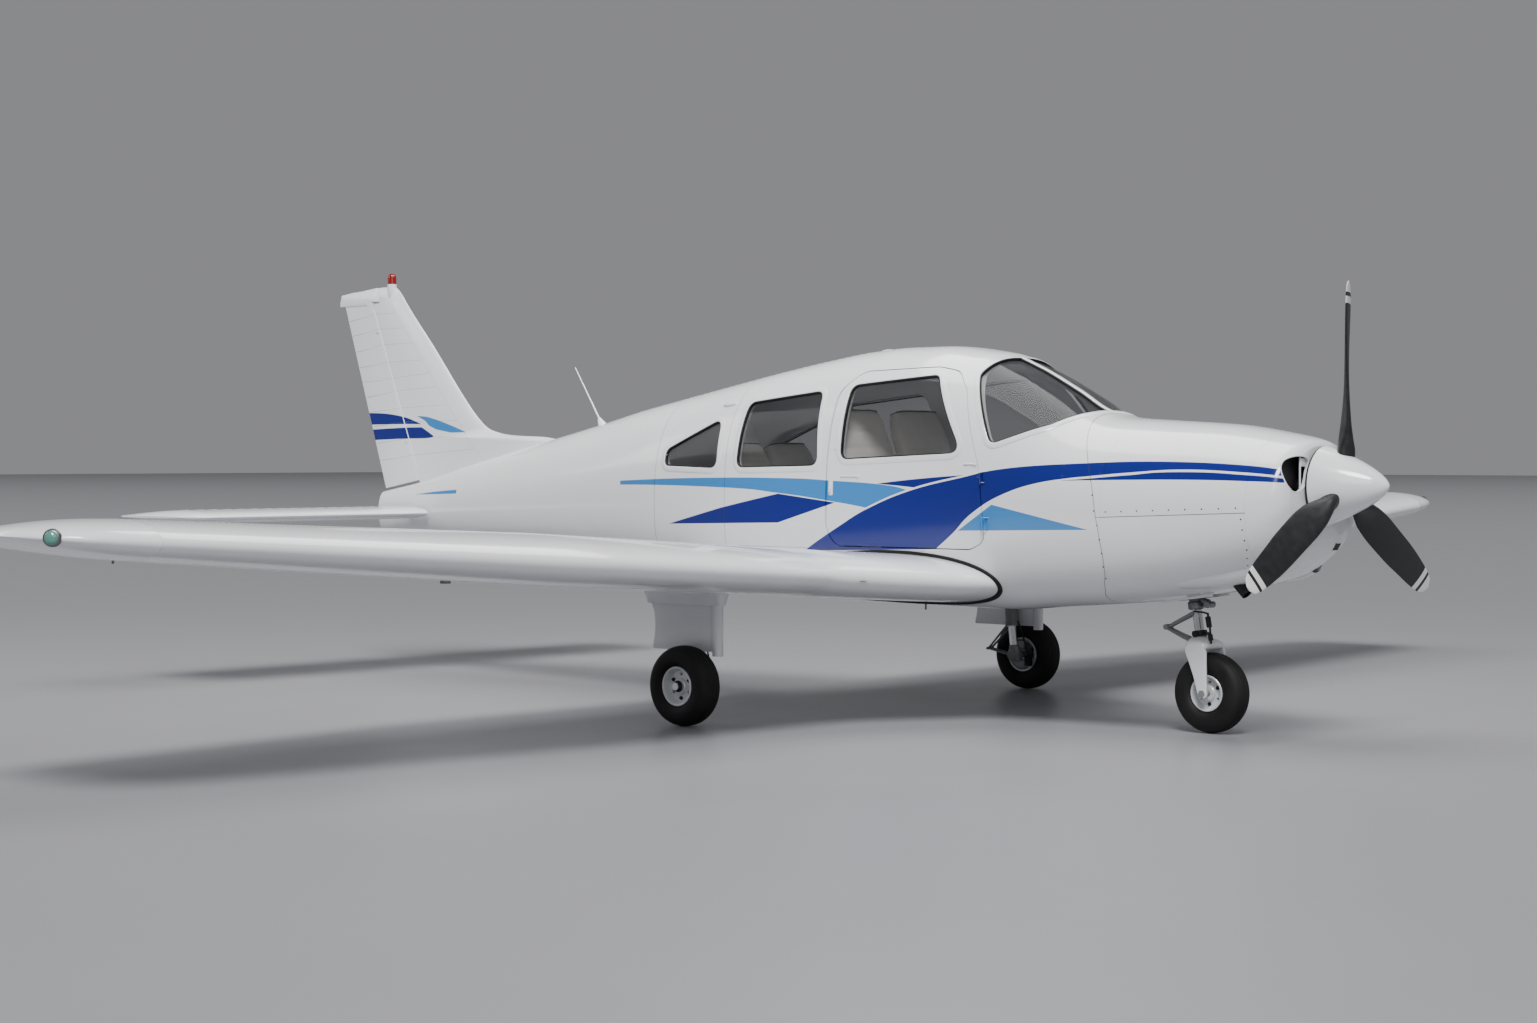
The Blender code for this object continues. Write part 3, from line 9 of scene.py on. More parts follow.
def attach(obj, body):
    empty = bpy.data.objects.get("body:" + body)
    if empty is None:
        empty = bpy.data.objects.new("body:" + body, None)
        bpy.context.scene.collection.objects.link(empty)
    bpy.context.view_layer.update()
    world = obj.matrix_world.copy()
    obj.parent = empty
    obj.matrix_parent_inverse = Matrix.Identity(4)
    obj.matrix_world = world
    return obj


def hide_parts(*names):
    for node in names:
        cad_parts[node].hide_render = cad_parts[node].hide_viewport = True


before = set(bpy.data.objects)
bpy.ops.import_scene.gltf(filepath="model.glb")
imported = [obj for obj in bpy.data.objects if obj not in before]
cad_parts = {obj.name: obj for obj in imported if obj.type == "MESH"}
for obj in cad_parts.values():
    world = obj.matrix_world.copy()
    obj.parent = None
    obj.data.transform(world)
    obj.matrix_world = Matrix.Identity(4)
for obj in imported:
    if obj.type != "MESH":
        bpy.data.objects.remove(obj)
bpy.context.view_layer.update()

# Stations, named s, are metres aft of the spinner's tip, as in the solids
noseX = 3.785


xAxis, yAxis, zAxis = Vector((1, 0, 0)), Vector((0, 1, 0)), Vector((0, 0, 1))
bothSides = (1, -1)


def at(s, y, z):
    return Vector((noseX - s, y, z))


def signedPower(value, exponent):
    return (1 if value >= 0 else -1) * abs(value) ** exponent


def arc(centre, radius, first, step, count):
    # points round a centre, from the first angle in degrees
    turns = [radians(first + step * i) for i in range(count)]
    return [(centre[0] + radius * cos(a), centre[1] + radius * sin(a)) for a in turns]


def cove(s, z, reach, tall, rear, count):
    # a round groove ahead of a hinge line, open to the rear
    groove = arc((s, z), reach, 124, 112 / (count - 1), count)
    front = groove[0][0]
    return [(rear, z + tall), (front, z + tall)] + groove + [(front, z - tall), (rear, z - tall)]


def mirrored(half, middle=()):
    # a symmetrical outline from the half with the lower first numbers
    return list(half) + list(middle) + [(-a, b) for a, b in reversed(half)]


def smoothCurve(points):
    xs, ys = [p[0] for p in points], [p[1] for p in points]
    slopes = [(ys[i + 1] - ys[i]) / (xs[i + 1] - xs[i]) for i in range(len(xs) - 1)]
    tangents = [slopes[0]]
    for a, b in zip(slopes, slopes[1:]):
        tangents.append(0.0 if a * b <= 0 else 2 * a * b / (a + b))
    tangents.append(slopes[-1])

    def value(x):
        x = min(max(x, xs[0]), xs[-1])
        i = max(k for k in range(len(xs) - 1) if xs[k] <= x)
        width = xs[i + 1] - xs[i]
        t = (x - xs[i]) / width
        return ((1 + 2 * t) * (1 - t) ** 2 * ys[i] + t * (1 - t) ** 2 * width * tangents[i]
                + t * t * (3 - 2 * t) * ys[i + 1] + t * t * (t - 1) * width * tangents[i + 1])
    return value


def steps(first, last, pitch):
    count = max(2, round(abs(last - first) / pitch))
    return [first + (last - first) * i / count for i in range(count + 1)]


def rounded(corners, radius, parts=8):
    made = []
    for i, corner in enumerate(corners):
        here = Vector(corner)
        before, after = Vector(corners[i - 1]) - here, Vector(corners[(i + 1) % len(corners)]) - here
        reach = min(radius / tan(before.angle(after) / 2), before.length * 0.45, after.length * 0.45)
        first, last = here + before.normalized() * reach, here + after.normalized() * reach
        for k in range(parts + 1):
            t = k / parts
            made.append(first * (1 - t) ** 2 + here * 2 * t * (1 - t) + last * t * t)
    return made


def middleOf(corners):
    return sum((Vector(c) for c in corners), Vector((0, 0))) / len(corners)


def insetPolygon(corners, gaps):
    centre, lines = middleOf(corners), []
    for i, corner in enumerate(corners):
        a, b = Vector(corner), Vector(corners[(i + 1) % len(corners)])
        along = (b - a).normalized()
        inward = Vector((-along.y, along.x))
        if inward.dot(centre - a) < 0:
            inward = -inward
        lines.append((a + inward * gaps[i], along))
    made = []
    for i in range(len(lines)):
        (p, u), (q, v) = lines[i - 1], lines[i]
        cross = u.x * v.y - u.y * v.x
        made.append(p + u * (((q.x - p.x) * v.y - (q.y - p.y) * v.x) / cross))
    return made


def dense(points, pitch, closed=True):
    made = []
    for i in range(len(points) if closed else len(points) - 1):
        a, b = points[i], points[(i + 1) % len(points)]
        count = max(1, round((b - a).length / pitch))
        made += [a.lerp(b, k / count) for k in range(count)]
    return made if closed else made + [points[-1]]


# Building meshes

class Shape:
    def __init__(self):
        self.points, self.faces, self.slots, self.inward = [], [], [], []

    def face(self, corners, slot=0, inward=False):
        self.faces.append(corners)
        self.slots.append(slot)
        self.inward.append(inward)

    def skin(self, rings, slot=0, inward=False, closed=True, loop=False):
        count, first = len(rings[0]), len(self.points)
        for ring in rings:
            self.points += [Vector(p) for p in ring]
        rows = len(rings)
        for r in range(rows if loop else rows - 1):
            a, b = first + r * count, first + (r + 1) % rows * count
            for i in range(count if closed else count - 1):
                j = (i + 1) % count
                self.face((a + i, b + i, b + j, a + j), slot, inward)
        if not loop:
            self.face(tuple(range(first, first + count)), slot, inward)
            last = range(first + (rows - 1) * count, first + rows * count)
            self.face(tuple(reversed(last)), slot, inward)
        return self

    def turned(self, start, end, marks, sides):
        # marks are (distance from the start, radius)
        turn = (end - start).to_track_quat("Z", "Y").to_matrix()
        ring = [(cos(2 * pi * i / sides), sin(2 * pi * i / sides)) for i in range(sides)]
        return self.skin([[start + turn @ Vector((r * c, r * q, h)) for c, q in ring] for h, r in marks])

    def rod(self, start, end, r0, r1=None, sides=16, roundEnd=0.0):
        r1 = r0 if r1 is None else r1
        length = (end - start).length
        marks = [(0, r0), (length, r1)]
        if roundEnd:
            small = roundEnd * 0.3
            marks = [(0, r0 - roundEnd), (small, r0 - small), (roundEnd, r0),
                     (length - roundEnd, r1), (length - small, r1 - small), (length, r1 - roundEnd)]
        return self.turned(start, end, marks, sides)

    def tube(self, path, radius, sides=8, closed=False):
        rings, side = [], None
        for i, p in enumerate(path):
            last = len(path) - 1
            before = path[i - 1] if i or closed else p
            after = path[(i + 1) % len(path)] if i < last or closed else p
            along = (after - before).normalized()
            if side is None:
                side = along.orthogonal()
            side = (side - along * side.dot(along)).normalized()
            other = along.cross(side)
            r = radius[i] if isinstance(radius, list) else radius
            rings.append([p + side * r * cos(2 * pi * k / sides) + other * r * sin(2 * pi * k / sides)
                          for k in range(sides)])
        return self.skin(rings, loop=closed)

    def spin(self, centre, axis, profile, sides=48, loop=True):
        # profile points are (radius, distance along the axis)
        turn = Matrix.Translation(centre) @ axis.to_track_quat("Z", "Y").to_matrix().to_4x4()
        rings = []
        for i in range(sides):
            a = 2 * pi * i / sides
            rings.append([turn @ Vector((r * cos(a), r * sin(a), h)) for r, h in profile])
        return self.skin(rings, loop=True, closed=loop)

    def ribbon(self, path, normals, profile, closed=True, outward=None):
        # profile points are (sideways, above the surface)
        rings = []
        count = len(path)
        middle = outward if outward is not None else sum(path, Vector()) / count
        for i, (p, n) in enumerate(zip(path, normals)):
            before = path[i - 1] if i or closed else p
            after = path[(i + 1) % count] if i < count - 1 or closed else p
            side = (after - before).cross(n).normalized()
            if side.dot(p - middle) < 0:
                side = -side
            rings.append([p + side * a + n * b for a, b in profile])
        return self.skin(rings, loop=closed)

    def box(self, low, high, slot=0):
        ring = [(low[0], low[1]), (high[0], low[1]), (high[0], high[1]), (low[0], high[1])]
        return self.skin([[Vector((x, y, z)) for x, y in ring] for z in (low[2], high[2])], slot)

    def mesh(self, name):
        made = bpy.data.meshes.new(name)
        bm = bmesh.new()
        points = [bm.verts.new(p) for p in self.points]
        kept = []
        for corners, slot, inward in zip(self.faces, self.slots, self.inward):
            madeFace = bm.faces.new([points[k] for k in corners])
            madeFace.material_index = slot
            madeFace.smooth = True
            if inward:
                kept.append(madeFace)
        bmesh.ops.recalc_face_normals(bm, faces=bm.faces)
        bmesh.ops.reverse_faces(bm, faces=kept)
        bm.to_mesh(made)
        bm.free()
        return made


def settle(obj):
    # the modifiers' result becomes the object's own mesh
    bpy.context.view_layer.update()
    old = obj.data
    obj.data = bpy.data.meshes.new_from_object(obj.evaluated_get(bpy.context.evaluated_depsgraph_get()))
    obj.modifiers.clear()
    bpy.data.meshes.remove(old)


def loose(name, shape, materials=()):
    obj = bpy.data.objects.new(name, shape.mesh(name))
    for finish in materials:
        obj.data.materials.append(finish)
    bpy.context.scene.collection.objects.link(obj)
    return obj


def carve(obj, operation, *shapes):
    for shape in shapes:
        other = loose("cutter", shape, obj.data.materials[:1])
        step = obj.modifiers.new("carve", "BOOLEAN")
        step.operation, step.solver, step.object = operation, "EXACT", other
        settle(obj)
        bpy.data.objects.remove(other, do_unlink=True)
    return obj


def finishPiece(obj, body, replaced=(), sharp=32, bevel=0.0):
    obj.data.shade_smooth()
    if bevel:
        edge = obj.modifiers.new("bevel", "BEVEL")
        edge.width, edge.segments, edge.limit_method, edge.angle_limit = bevel, 2, "ANGLE", radians(40)
        edge.harden_normals = False
        settle(obj)
        obj.data.shade_smooth()
    obj.data.set_sharp_from_angle(angle=radians(sharp))
    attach(obj, body)
    if replaced:
        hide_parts(*replaced)
    return obj


def piece(name, shape, materials, body="airframe", replaced=(), sharp=32, bevel=0.0):
    return finishPiece(loose(name, shape, materials), body, replaced, sharp, bevel)


# Shader building

class Socket:
    def __init__(self, shader, output):
        self.shader, self.output = shader, output

    def maths(self, operation, a, b=None, clamp=False):
        return self.shader.node("ShaderNodeMath", {"operation": operation, "use_clamp": clamp},
                                {0: a} if b is None else {0: a, 1: b})

    def __add__(self, other):
        return self.maths("ADD", self, other)

    def __sub__(self, other):
        return self.maths("SUBTRACT", self, other)

    def __rsub__(self, other):
        return self.maths("SUBTRACT", other, self)

    def __mul__(self, other):
        return self.maths("MULTIPLY", self, other)

    def __truediv__(self, other):
        return self.maths("DIVIDE", self, other)

    def __abs__(self):
        return self.maths("ABSOLUTE", self)

    def above(self, level, soft):
        # 0 below the level, 1 above it, over a narrow ramp
        return self.maths("ADD", (self - level) / soft, 0.5, clamp=True)

    def least(self, other):
        return self.maths("MINIMUM", self, other)

    def most(self, other):
        return self.maths("MAXIMUM", self, other)

    __radd__, __rmul__ = __add__, __mul__


class Shader:
    def __init__(self, name, colour, roughness, metallic=0.0, **fixed):
        self.material = bpy.data.materials.new(name)
        self.material.use_nodes = True
        self.tree = self.material.node_tree
        self.surface = self.tree.nodes["Principled BSDF"]
        self.surface.inputs["Base Color"].default_value = colour
        self.surface.inputs["Roughness"].default_value = roughness
        self.surface.inputs["Metallic"].default_value = metallic
        for socket, value in fixed.items():
            self.surface.inputs[socket.replace("_", " ")].default_value = value
        self.material.diffuse_color = colour

    def node(self, kind, settings=None, inputs=None, output=0):
        made = self.tree.nodes.new(kind)
        for key, value in (settings or {}).items():
            setattr(made, key, value)
        for key, value in (inputs or {}).items():
            if isinstance(value, Socket):
                self.tree.links.new(value.output, made.inputs[key])
            else:
                made.inputs[key].default_value = value
        return Socket(self, made.outputs[output])

    def place(self):
        return self.node("ShaderNodeTexCoord", output="Object")

    def axes(self):
        split = self.tree.nodes.new("ShaderNodeSeparateXYZ")
        self.tree.links.new(self.place().output, split.inputs[0])
        return [Socket(self, split.outputs[k]) for k in range(3)]

    def noise(self, scale, detail=2.0):
        return self.node("ShaderNodeTexNoise", None, {"Vector": self.place(), "Scale": scale,
                                                      "Detail": detail})

    def blend(self, share, a, b):
        return self.node("ShaderNodeMix", {"data_type": "RGBA"}, {0: share, 6: a, 7: b}, output=2)

    def graph(self, value, points, kind="AUTO"):
        # a curve through points, read between its own first and last value
        (x0, x1), ys = (points[0][0], points[-1][0]), [p[1] for p in points]
        y0, y1 = min(ys), max(max(ys), min(ys) + 1e-4)
        made = self.tree.nodes.new("ShaderNodeFloatCurve")
        line = made.mapping.curves[0]
        for x, y in points[1:-1]:
            line.points.new((x - x0) / (x1 - x0), (y - y0) / (y1 - y0))
        ends = sorted(line.points, key=lambda p: p.location[0])
        ends[0].location = (0, (points[0][1] - y0) / (y1 - y0))
        ends[-1].location = (1, (points[-1][1] - y0) / (y1 - y0))
        for p in line.points:
            p.handle_type = kind
        made.mapping.update()
        self.tree.links.new(((value - x0) / (x1 - x0)).output, made.inputs["Value"])
        return Socket(self, made.outputs[0]) * (y1 - y0) + y0

    def set(self, **links):
        for socket, value in links.items():
            self.tree.links.new(value.output, self.surface.inputs[socket.replace("_", " ")])

    def bump(self, height, strength, distance):
        self.set(Normal=self.node("ShaderNodeBump", None, {"Height": height, "Strength": strength,
                                                           "Distance": distance}))
        return self.material


def rgb(r, g, b):
    return tuple(pow(c / 255.0, 2.2) for c in (r, g, b)) + (1.0,)


def darker(colour, share):
    return tuple(c * share for c in colour[:3]) + (1,)


# Finishes

stripes = {
    "royal": rgb(9, 30, 116), "sky": rgb(54, 126, 190), "edge": 0.0016, "gap": 0.010,
    # each stripe as an upper and a lower edge, in stations and heights
    "swooshTop": [(0.36, 1.290), (0.534, 1.311), (0.968, 1.329), (1.376, 1.321), (1.823, 1.293),
                  (2.089, 1.245), (2.356, 1.190), (2.676, 1.084), (2.873, 0.988), (3.122, 0.857)],
    "swooshLow": [(0.36, 1.262), (0.532, 1.278), (0.865, 1.291), (1.133, 1.276), (1.358, 1.257),
                  (1.465, 1.247), (1.634, 1.222), (1.815, 1.170), (2.012, 1.068), (2.130, 0.966),
                  (2.241, 0.885)],
    "footLow": [(2.20, 0.884), (2.241, 0.885), (3.122, 0.857)],
    "threadTop": [(0.36, 1.251), (0.532, 1.267), (0.865, 1.280), (1.133, 1.264), (1.358, 1.246),
                  (1.50, 1.236)],
    "threadLow": [(0.36, 1.231), (0.531, 1.238), (0.853, 1.243), (1.125, 1.241), (1.50, 1.235)],
    "bandTop": [(2.36, 1.150), (2.407, 1.179), (2.63, 1.213), (2.922, 1.227), (3.21, 1.238), (3.767, 1.238),
                (4.612, 1.216), (6.277, 1.148), (6.721, 1.115)],
    "bandLow": [(2.60, 1.072), (2.689, 1.089), (2.906, 1.118), (3.316, 1.161), (3.684, 1.184), (4.61, 1.193),
                (6.269, 1.124), (6.721, 1.113)],
    "bareFrom": 4.612, "bareTo": 6.272,
    "diamondTop": [(2.896, 1.113), (3.298, 1.156), (3.74, 1.075), (4.177, 0.980)],
    "diamondLow": [(2.896, 1.113), (3.299, 1.002), (4.177, 0.980)],
    "wedgeTop": [(2.03, 1.262), (2.332, 1.241), (2.61, 1.214)],
    "wedgeLow": [(2.30, 1.188), (2.366, 1.195), (2.61, 1.213)],
    "sailTop": [(1.342, 0.999), (1.891, 1.114), (2.096, 0.981)],
    "sailLow": [(1.342, 0.998), (2.096, 0.981)],
}

seams = {
    "cowlRear": [(0.60, 1.378), (0.644, 1.369), (0.72, 1.315), (0.85, 1.268), (0.95, 1.275), (1.063, 1.295),
                 (1.188, 1.319), (1.309, 1.366), (1.431, 1.430), (1.52, 1.485)],
    "split": (1.110, 0.0397), "hoops": (3.707, 4.30),
    "long": ((0.873, 2.305, 3.60),),
}


def band(shader, s, z, top, low, kinds=("AUTO", "AUTO")):
    soft = stripes["edge"]
    first, last = min(top[0][0], low[0][0]), max(top[-1][0], low[-1][0])
    inside = (shader.graph(s, top, kinds[0]) - z).above(0, soft)
    inside = inside * (z - shader.graph(s, low, kinds[1])).above(0, soft)
    return inside * (s - first).above(0, soft) * (last - s).above(0, soft)


def paintBase(name, **more):
    # glossy white, a little uneven, with faint grime low down
    shader = Shader(name, rgb(232, 233, 236), 0.20, Coat_Weight=0.6, Coat_Roughness=0.06, **more)
    x, y, z = shader.axes()
    cloud = shader.noise(1.7, 4.0)
    grime = shader.noise(5.0, 3.0).above(0.56, 0.5) * (0.95 - z).above(0, 0.5) * 0.07
    white = shader.blend(cloud, rgb(229, 230, 233), rgb(238, 239, 241))
    colour = shader.blend(grime, white, rgb(150, 146, 140))
    shader.set(Roughness=cloud * 0.08 + 0.14 + grime * 1.2)
    shader.white = colour
    shader.bump(shader.noise(2.6, 3.0), 0.08, 0.006)
    return shader, x, y, z


def stripedPaint():
    shader, x, y, z = paintBase("whitePaintWithStripes")
    s = noseX - x
    k = stripes
    top = shader.graph(s, k["swooshTop"])
    swoosh = (top - z).above(0, k["edge"]) * (z - shader.graph(s, k["swooshLow"])).above(0, k["edge"])
    swoosh = swoosh * (k["swooshLow"][-1][0] - s).above(0, k["edge"])
    foot = (top - z).above(0, k["edge"]) * (z - shader.graph(s, k["footLow"], "VECTOR")).above(0, k["edge"])
    foot = foot * (s - k["swooshLow"][-1][0]).above(-0.003, k["edge"])
    foot = foot * (k["footLow"][-1][0] - s).above(0, k["edge"])
    clear = (z - top).above(k["gap"], k["edge"])
    thread = band(shader, s, z, k["threadTop"], k["threadLow"])
    diamond = band(shader, s, z, k["diamondTop"], k["diamondLow"], ("VECTOR", "VECTOR"))
    wedge = band(shader, s, z, k["wedgeTop"], k["wedgeLow"]) * clear
    bare = (s - 0.42).above(0, 0.01).most((abs(y) - 0.315).above(0, 0.004))
    dark = swoosh.most(foot).most(thread).most(diamond).most(wedge) * bare
    light = band(shader, s, z, k["bandTop"], k["bandLow"]) * clear
    light = light * (1 - (s - k["bareFrom"]).above(0, k["edge"]) * (k["bareTo"] - s).above(0, k["edge"]))
    sail = band(shader, s, z, k["sailTop"], k["sailLow"], ("VECTOR", "VECTOR"))
    below = (shader.graph(s, k["swooshLow"]) - z).above(k["gap"], k["edge"])
    sail = sail * below.most((s - 2.24).above(0, 0.001))
    colour = shader.blend(light.most(sail), shader.white, k["sky"])
    colour = shader.blend(dark, colour, k["royal"])
    shader.set(Base_Color=shader.blend(seamMask(shader, s, z) * 0.62, colour, rgb(58, 58, 62)))
    return shader.material


def seamMask(shader, s, z):
    # thin dirty joints between panels
    def line(value, where, half, start=None, end=None, along=None):
        made = 1 - abs(value - where).above(half, 0.0016)
        if start is not None:
            made = made * (along - start).above(0, 0.002) * (end - along).above(0, 0.002)
        return made
    rear = shader.graph(z, seams["cowlRear"])
    split = seams["split"][0] - s * seams["split"][1]
    mask = line(s, rear, 0.0024, 0.60, 1.60, z).most(line(z, split, 0.0020, 0.515, 1.30, s))
    for where in seams["hoops"]:
        mask = mask.most(line(s, where, 0.0018, 0.60, 1.75, z))
    for where, start, end in seams["long"]:
        mask = mask.most(line(z, where, 0.0016, start, end, s))
    return mask


fin = {"hingeLow": (6.797, 1.234), "hingeHigh": (7.235, 2.294), "hornLead": 7.166, "hornZ": 2.343,
       "hornGap": 0.013, "lip": 0.003, "gap": 0.005}
finSlope = (fin["hingeHigh"][0] - fin["hingeLow"][0]) / (fin["hingeHigh"][1] - fin["hingeLow"][1])

finStripes = {
    "upperTop": [(6.734, 1.554), (6.800, 1.575), (6.903, 1.601), (7.031, 1.619), (7.147, 1.628),
                 (7.40, 1.631)],
    "upperLow": [(6.734, 1.5535), (6.856, 1.557), (7.07, 1.557), (7.40, 1.552)],
    "lowerTop": [(6.623, 1.481), (6.669, 1.504), (6.734, 1.536), (6.856, 1.536), (7.07, 1.531),
                 (7.40, 1.520)],
    "lowerLow": [(6.623, 1.4805), (6.707, 1.466), (6.857, 1.465), (7.07, 1.461), (7.40, 1.452)],
    "leafTop": [(6.335, 1.504), (6.481, 1.551), (6.610, 1.586), (6.703, 1.603), (6.777, 1.606)],
    "leafLow": [(6.335, 1.502), (6.463, 1.500), (6.601, 1.521), (6.666, 1.546), (6.700, 1.576),
                (6.777, 1.605)],
}
# ribs as heights at the trailing edge, the hinge and the lap line
finRibs = [(2.220, 2.262, 2.262), (2.126, 2.165, 2.166), (2.023, 2.063, 2.070), (1.924, 1.951, 1.959),
           (1.831, 1.847, 1.874), (1.732, 1.765, 1.789), (1.637, 1.658, 1.675), (1.545, 1.570, 1.576),
           (1.440, 1.464, 1.485), (1.330, 1.358, 1.398)]
finLap = [(1.30, 6.120), (1.340, 6.168), (1.480, 6.321), (1.665, 6.484), (1.852, 6.649), (2.093, 6.854),
          (2.279, 7.015), (2.32, 7.05)]


def finHinge(z):
    return fin["hingeLow"][0] + finSlope * (z - fin["hingeLow"][1])


def ribFall(rib):
    # how fast a rib falls, before and behind the hinge line
    trail, middle, front = rib
    return (front - middle) / (finHinge(middle) - smoothCurve(finLap)(front)), (middle - trail) / 0.29


def finPaint():
    shader, x, _, z = paintBase("whitePaintFin")
    s = noseX - x
    k = finStripes
    dark = band(shader, s, z, k["upperTop"], k["upperLow"]).most(
        band(shader, s, z, k["lowerTop"], k["lowerLow"], ("VECTOR", "AUTO")))
    light = band(shader, s, z, k["leafTop"], k["leafLow"], ("AUTO", "VECTOR"))
    colour = shader.blend(light, shader.white, stripes["sky"])
    colour = shader.blend(dark, colour, stripes["royal"])
    # grey lines blended into the colour: a dark joint along the lap line, and painted shade along the ribs
    # behind it, standing for the shadow lines of their grooves
    lap = shader.graph(z, finLap)
    mask = 1 - abs(s - lap).above(0.0012, 0.0016)
    aft = (s - lap).above(0, 0.003)
    hinge = z * finSlope + (fin["hingeLow"][0] - finSlope * fin["hingeLow"][1])
    for rib in finRibs:
        before, behind = ribFall(rib)
        fall = (s - hinge).most(0) * behind + (s - hinge).least(0) * before
        mask = mask.most((1 - abs(z + fall - rib[1]).above(0.0012, 0.0016)) * aft)
    mask = mask * (z - 1.31).above(0, 0.01) * (2.30 - z).above(0, 0.01)
    shader.set(Base_Color=shader.blend(mask * 0.45, colour, rgb(96, 96, 100)))
    return shader.material


def plainPaint():
    shader = paintBase("whitePaint")[0]
    shader.set(Base_Color=shader.white)
    return shader.material


def rubberFinish(name, colour, roughness=0.62):
    shader = Shader(name, colour, roughness, Specular_IOR_Level=0.35)
    grain = shader.noise(55.0, 3.0)
    dust = shader.noise(6.0, 4.0)
    shader.set(Base_Color=shader.blend(dust.above(0.55, 0.4) * 0.35, colour, rgb(58, 56, 54)),
               Roughness=dust * 0.25 + roughness - 0.12)
    return shader.bump(grain, 0.12, 0.002)


def metalFinish(name, colour, roughness, metallic=1.0, scratch=0.10):
    shader = Shader(name, colour, roughness, metallic)
    wear = shader.noise(38.0, 4.0)
    stain = shader.noise(5.0, 3.0)
    shader.set(Roughness=wear * scratch * 2 + roughness - scratch,
               Base_Color=shader.blend(stain.above(0.5, 0.5) * 0.35, colour, darker(colour, 0.62)))
    return shader.bump(wear, 0.06, 0.001)


def glassFinish():
    # dark and clear, and stronger where it is seen at a slant
    shader = Shader("cabinGlass", rgb(40, 43, 47), 0.03, IOR=1.5)
    facing = shader.node("ShaderNodeLayerWeight", None, {"Blend": 0.32}, output=1)
    smear = shader.noise(7.0, 4.0).above(0.62, 0.3)
    shader.set(Roughness=smear * 0.05 + 0.02, Alpha=facing * 0.50 + 0.12)
    return shader.material


def lensFinish(name, colour):
    shader = Shader(name, colour, 0.10, Coat_Weight=0.8, Coat_Roughness=0.03)
    ribs = shader.node("ShaderNodeMath", {"operation": "SINE"}, {0: shader.axes()[2] * 900.0})
    shader.set(Roughness=shader.noise(30.0, 2.0) * 0.08 + 0.06)
    return shader.bump(ribs, 0.25, 0.0006)


def leatherFinish(name, colour):
    shader = Shader(name, colour, 0.55, Sheen_Weight=0.15)
    where = shader.place()
    grain = shader.node("ShaderNodeTexVoronoi", {"feature": "DISTANCE_TO_EDGE"},
                        {"Vector": where, "Scale": 260.0})
    foldAndCreaseShade = shader.noise(14.0, 4.0)
    # the colour is darker where the folds dip: painted shade in the creases
    shader.set(Base_Color=shader.blend(foldAndCreaseShade, darker(colour, 0.82), colour),
               Roughness=foldAndCreaseShade * 0.2 + 0.42)
    return shader.bump(grain.least(0.25) + foldAndCreaseShade * 0.4, 0.25, 0.003)


def plasticFinish(name, colour, roughness, **more):
    shader = Shader(name, colour, roughness, **more)
    grain = shader.noise(120.0, 2.0)
    shader.set(Roughness=shader.noise(8.0, 3.0) * 0.14 + roughness - 0.07)
    return shader.bump(grain, 0.10, 0.001)


white, striped, finWhite = plainPaint(), stripedPaint(), finPaint()
sealBlack = rubberFinish("sealRubber", rgb(20, 20, 21), 0.55)
tyreBlack = rubberFinish("tyreRubber", rgb(22, 22, 23), 0.66)
steel = metalFinish("dullSteel", rgb(126, 128, 130), 0.38)
chrome = metalFinish("chromedPiston", rgb(214, 216, 219), 0.16, 1.0, 0.03)
rimMetal = metalFinish("rimPaint", rgb(224, 226, 229), 0.34, 0.25)
darkMetal = metalFinish("darkSteel", rgb(52, 53, 55), 0.48, 0.7)
castGrey = metalFinish("castGrey", rgb(140, 141, 142), 0.55, 0.35, 0.12)
lining = plasticFinish("cabinLining", rgb(54, 54, 56), 0.8)
trimBlack = plasticFinish("blackTrim", rgb(26, 26, 28), 0.6)
panelGrey = plasticFinish("panelGrey", rgb(62, 63, 66), 0.7)
hide = leatherFinish("paleLeather", rgb(242, 238, 230))
hideDark = leatherFinish("greyLeather", rgb(96, 93, 90))
glass = glassFinish()
redLens, greenLens = lensFinish("redLens", rgb(124, 18, 14)), lensFinish("greenLens", rgb(84, 140, 128))
print("finishes ready")

# The fuselage's skin, from the same section curves as the solids

topLine = smoothCurve([
    (0.345, 1.405), (0.36, 1.425), (0.40, 1.441), (0.526, 1.467), (0.80, 1.508), (1.144, 1.53),
    (1.409, 1.547), (1.547, 1.578), (1.742, 1.687), (1.991, 1.814), (2.214, 1.895), (2.541, 1.932),
    (2.741, 1.932), (2.98, 1.917), (3.26, 1.88), (3.62, 1.822), (3.99, 1.757), (4.376, 1.689), (4.733, 1.625),
    (5.10, 1.546), (5.45, 1.475), (6.17, 1.328), (6.80, 1.188), (7.14, 1.128)])
bottomLine = smoothCurve([
    (0.345, 0.96), (0.36, 0.92), (0.40, 0.86), (0.56, 0.76), (0.95, 0.675), (1.23, 0.636), (1.65, 0.60),
    (2.08, 0.57), (3.00, 0.575), (4.00, 0.64), (5.00, 0.715), (6.00, 0.79), (7.14, 0.875)])
halfLine = smoothCurve([
    (0.345, 0.31), (0.36, 0.345), (0.40, 0.385), (0.515, 0.425), (0.80, 0.470), (1.27, 0.510), (2.00, 0.555),
    (2.60, 0.565), (3.30, 0.555), (4.30, 0.460), (5.00, 0.360), (6.00, 0.215), (7.14, 0.050)])
waistLine = smoothCurve([
    (0.345, 1.16), (0.515, 1.09), (1.27, 1.06), (2.00, 1.08), (3.30, 1.10), (4.30, 1.10), (5.50, 1.06),
    (7.14, 1.010)])
topPower = smoothCurve([(0.345, 2.2), (1.27, 2.35), (2.00, 2.6), (3.60, 2.6), (5.00, 2.2), (7.14, 2.0)])
bottomPower = smoothCurve([(0.345, 2.3), (1.27, 2.8), (2.00, 3.2), (3.60, 3.2), (5.00, 2.5), (7.14, 2.0)])


